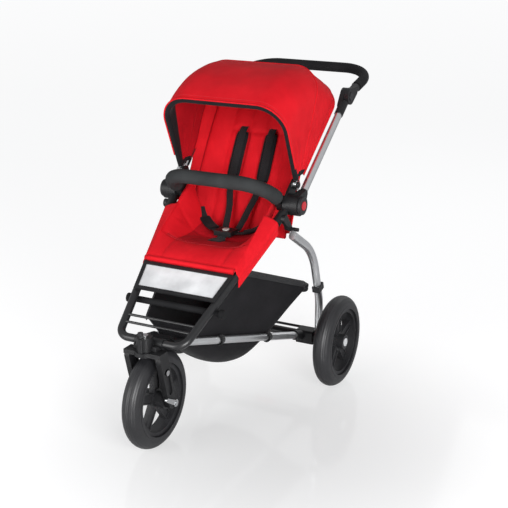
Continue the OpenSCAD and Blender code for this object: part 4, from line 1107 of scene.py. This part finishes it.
studio = {
    "floorSize": 60, "floorColour": (0.86, 0.86, 0.86, 1), "floorRough": 0.1, "glow": 1.65, "glowShare": 0.45,
    # a painted shadow and reflection under the stroller: where it lies, how far it reaches, and its glow at the
    # middle
    "paintedShadowAt": (0.40, -0.35, 0), "paintedShadowSize": 1.1, "paintedShadowGlow": 0.95,
    "worldColour": (0.93, 0.95, 1, 1), "worldLight": 0.27, "worldSeen": 1.0, "glossyShare": 0.36,
}


def mixByRay(tree, share, first, second, end):
    mix = addNode(tree, "ShaderNodeMixShader")
    link(share.outputs[0], mix.inputs["Fac"])
    link(first.outputs[0], mix.inputs[1])
    link(second.outputs[0], mix.inputs[2])
    link(mix.outputs[0], tree.nodes[end].inputs["Surface"])


def makeFloor():
    bpy.ops.mesh.primitive_plane_add(size=studio["floorSize"])
    floor = bpy.context.object
    floor.name = "studioFloor"
    mat, tree, shader = newMaterial("floorWhite")
    setInputs(shader, Base_Color=studio["floorColour"], Roughness=studio["floorRough"], Specular_IOR_Level=1.0)
    # the camera sees part of the floor's own glow, which is weaker in a painted shadow and reflection, a soft grey
    # pool under the stroller
    where = addNode(tree, "ShaderNodeTexCoord")
    away = addNode(tree, "ShaderNodeVectorMath", {"operation": "DISTANCE"})
    away.inputs[1].default_value = studio["paintedShadowAt"]
    paintedShadow = addNode(tree, "ShaderNodeMapRange", {"interpolation_type": "SMOOTHSTEP"}, From_Max=studio["paintedShadowSize"],
                   To_Min=studio["paintedShadowGlow"], To_Max=studio["glow"])
    glow = addNode(tree, "ShaderNodeEmission")
    seen = addNode(tree, "ShaderNodeLightPath")
    share = addNode(tree, "ShaderNodeMath", {"operation": "MULTIPLY"})
    share.inputs[1].default_value = studio["glowShare"]
    link(where.outputs["Object"], away.inputs[0])
    link(away.outputs["Value"], paintedShadow.inputs["Value"])
    link(paintedShadow.outputs["Result"], glow.inputs["Strength"])
    link(seen.outputs["Is Camera Ray"], share.inputs[0])
    mixByRay(tree, share, shader, glow, "Material Output")
    floor.data.materials.append(mat)


def makeWorld():
    # the camera sees white, the stroller gets less light from it, and shiny things see something between
    world = bpy.data.worlds.new("studioWorld")
    world.use_nodes = True
    bpy.context.scene.world = world
    tree = world.node_tree
    dim = tree.nodes["Background"]
    setInputs(dim, Color=studio["worldColour"], Strength=studio["worldLight"])
    white = addNode(tree, "ShaderNodeBackground", Color=(1, 1, 1, 1), Strength=studio["worldSeen"])
    seen = addNode(tree, "ShaderNodeLightPath")
    share = addNode(tree, "ShaderNodeMath", {"operation": "MULTIPLY_ADD"})
    share.inputs[1].default_value = studio["glossyShare"]
    link(seen.outputs["Is Glossy Ray"], share.inputs[0])
    link(seen.outputs["Is Camera Ray"], share.inputs[2])
    mixByRay(tree, share, dim, white, "World Output")


lamps = {
    "keyLamp": {"place": (2.9, -2.7, 1.35), "size": 1.8, "power": 148},
    "fillLamp": {"place": (-1.6, -3.4, 1.2), "size": 2.2, "power": 76},
    "backLamp": {"place": (0.6, 3.0, 2.6), "size": 2.0, "power": 9},
}
lampTarget = (0, 0, 0.6)


def makeLamps():
    for name, lamp in lamps.items():
        light = bpy.data.lights.new(name, "AREA")
        light.size = lamp["size"]
        light.energy = lamp["power"]
        piece = addObject(name, light)
        piece.location = lamp["place"]
        aim = Vector(lampTarget) - Vector(lamp["place"])
        piece.rotation_euler = aim.to_track_quat("-Z", "Y").to_euler()


camera = {"lens": 79.4, "sensor": 36, "place": (1.6317, -2.980066, 1.5439), "target": (-0.159, 0.462534, 0.303)}


def makeCamera():
    lens = bpy.data.cameras.new("shot")
    lens.lens = camera["lens"]
    lens.sensor_width = camera["sensor"]
    shot = addObject("shot", lens)
    shot.location = camera["place"]
    shot.rotation_euler = (Vector(camera["target"]) - shot.location).to_track_quat("-Z", "Y").to_euler()
    bpy.context.scene.camera = shot


makeFloor()
makeWorld()
makeLamps()
makeCamera()
bpy.context.scene.view_settings.view_transform = "Standard"
print("studio ready")


def writeSizes():
    import json


writeSizes()
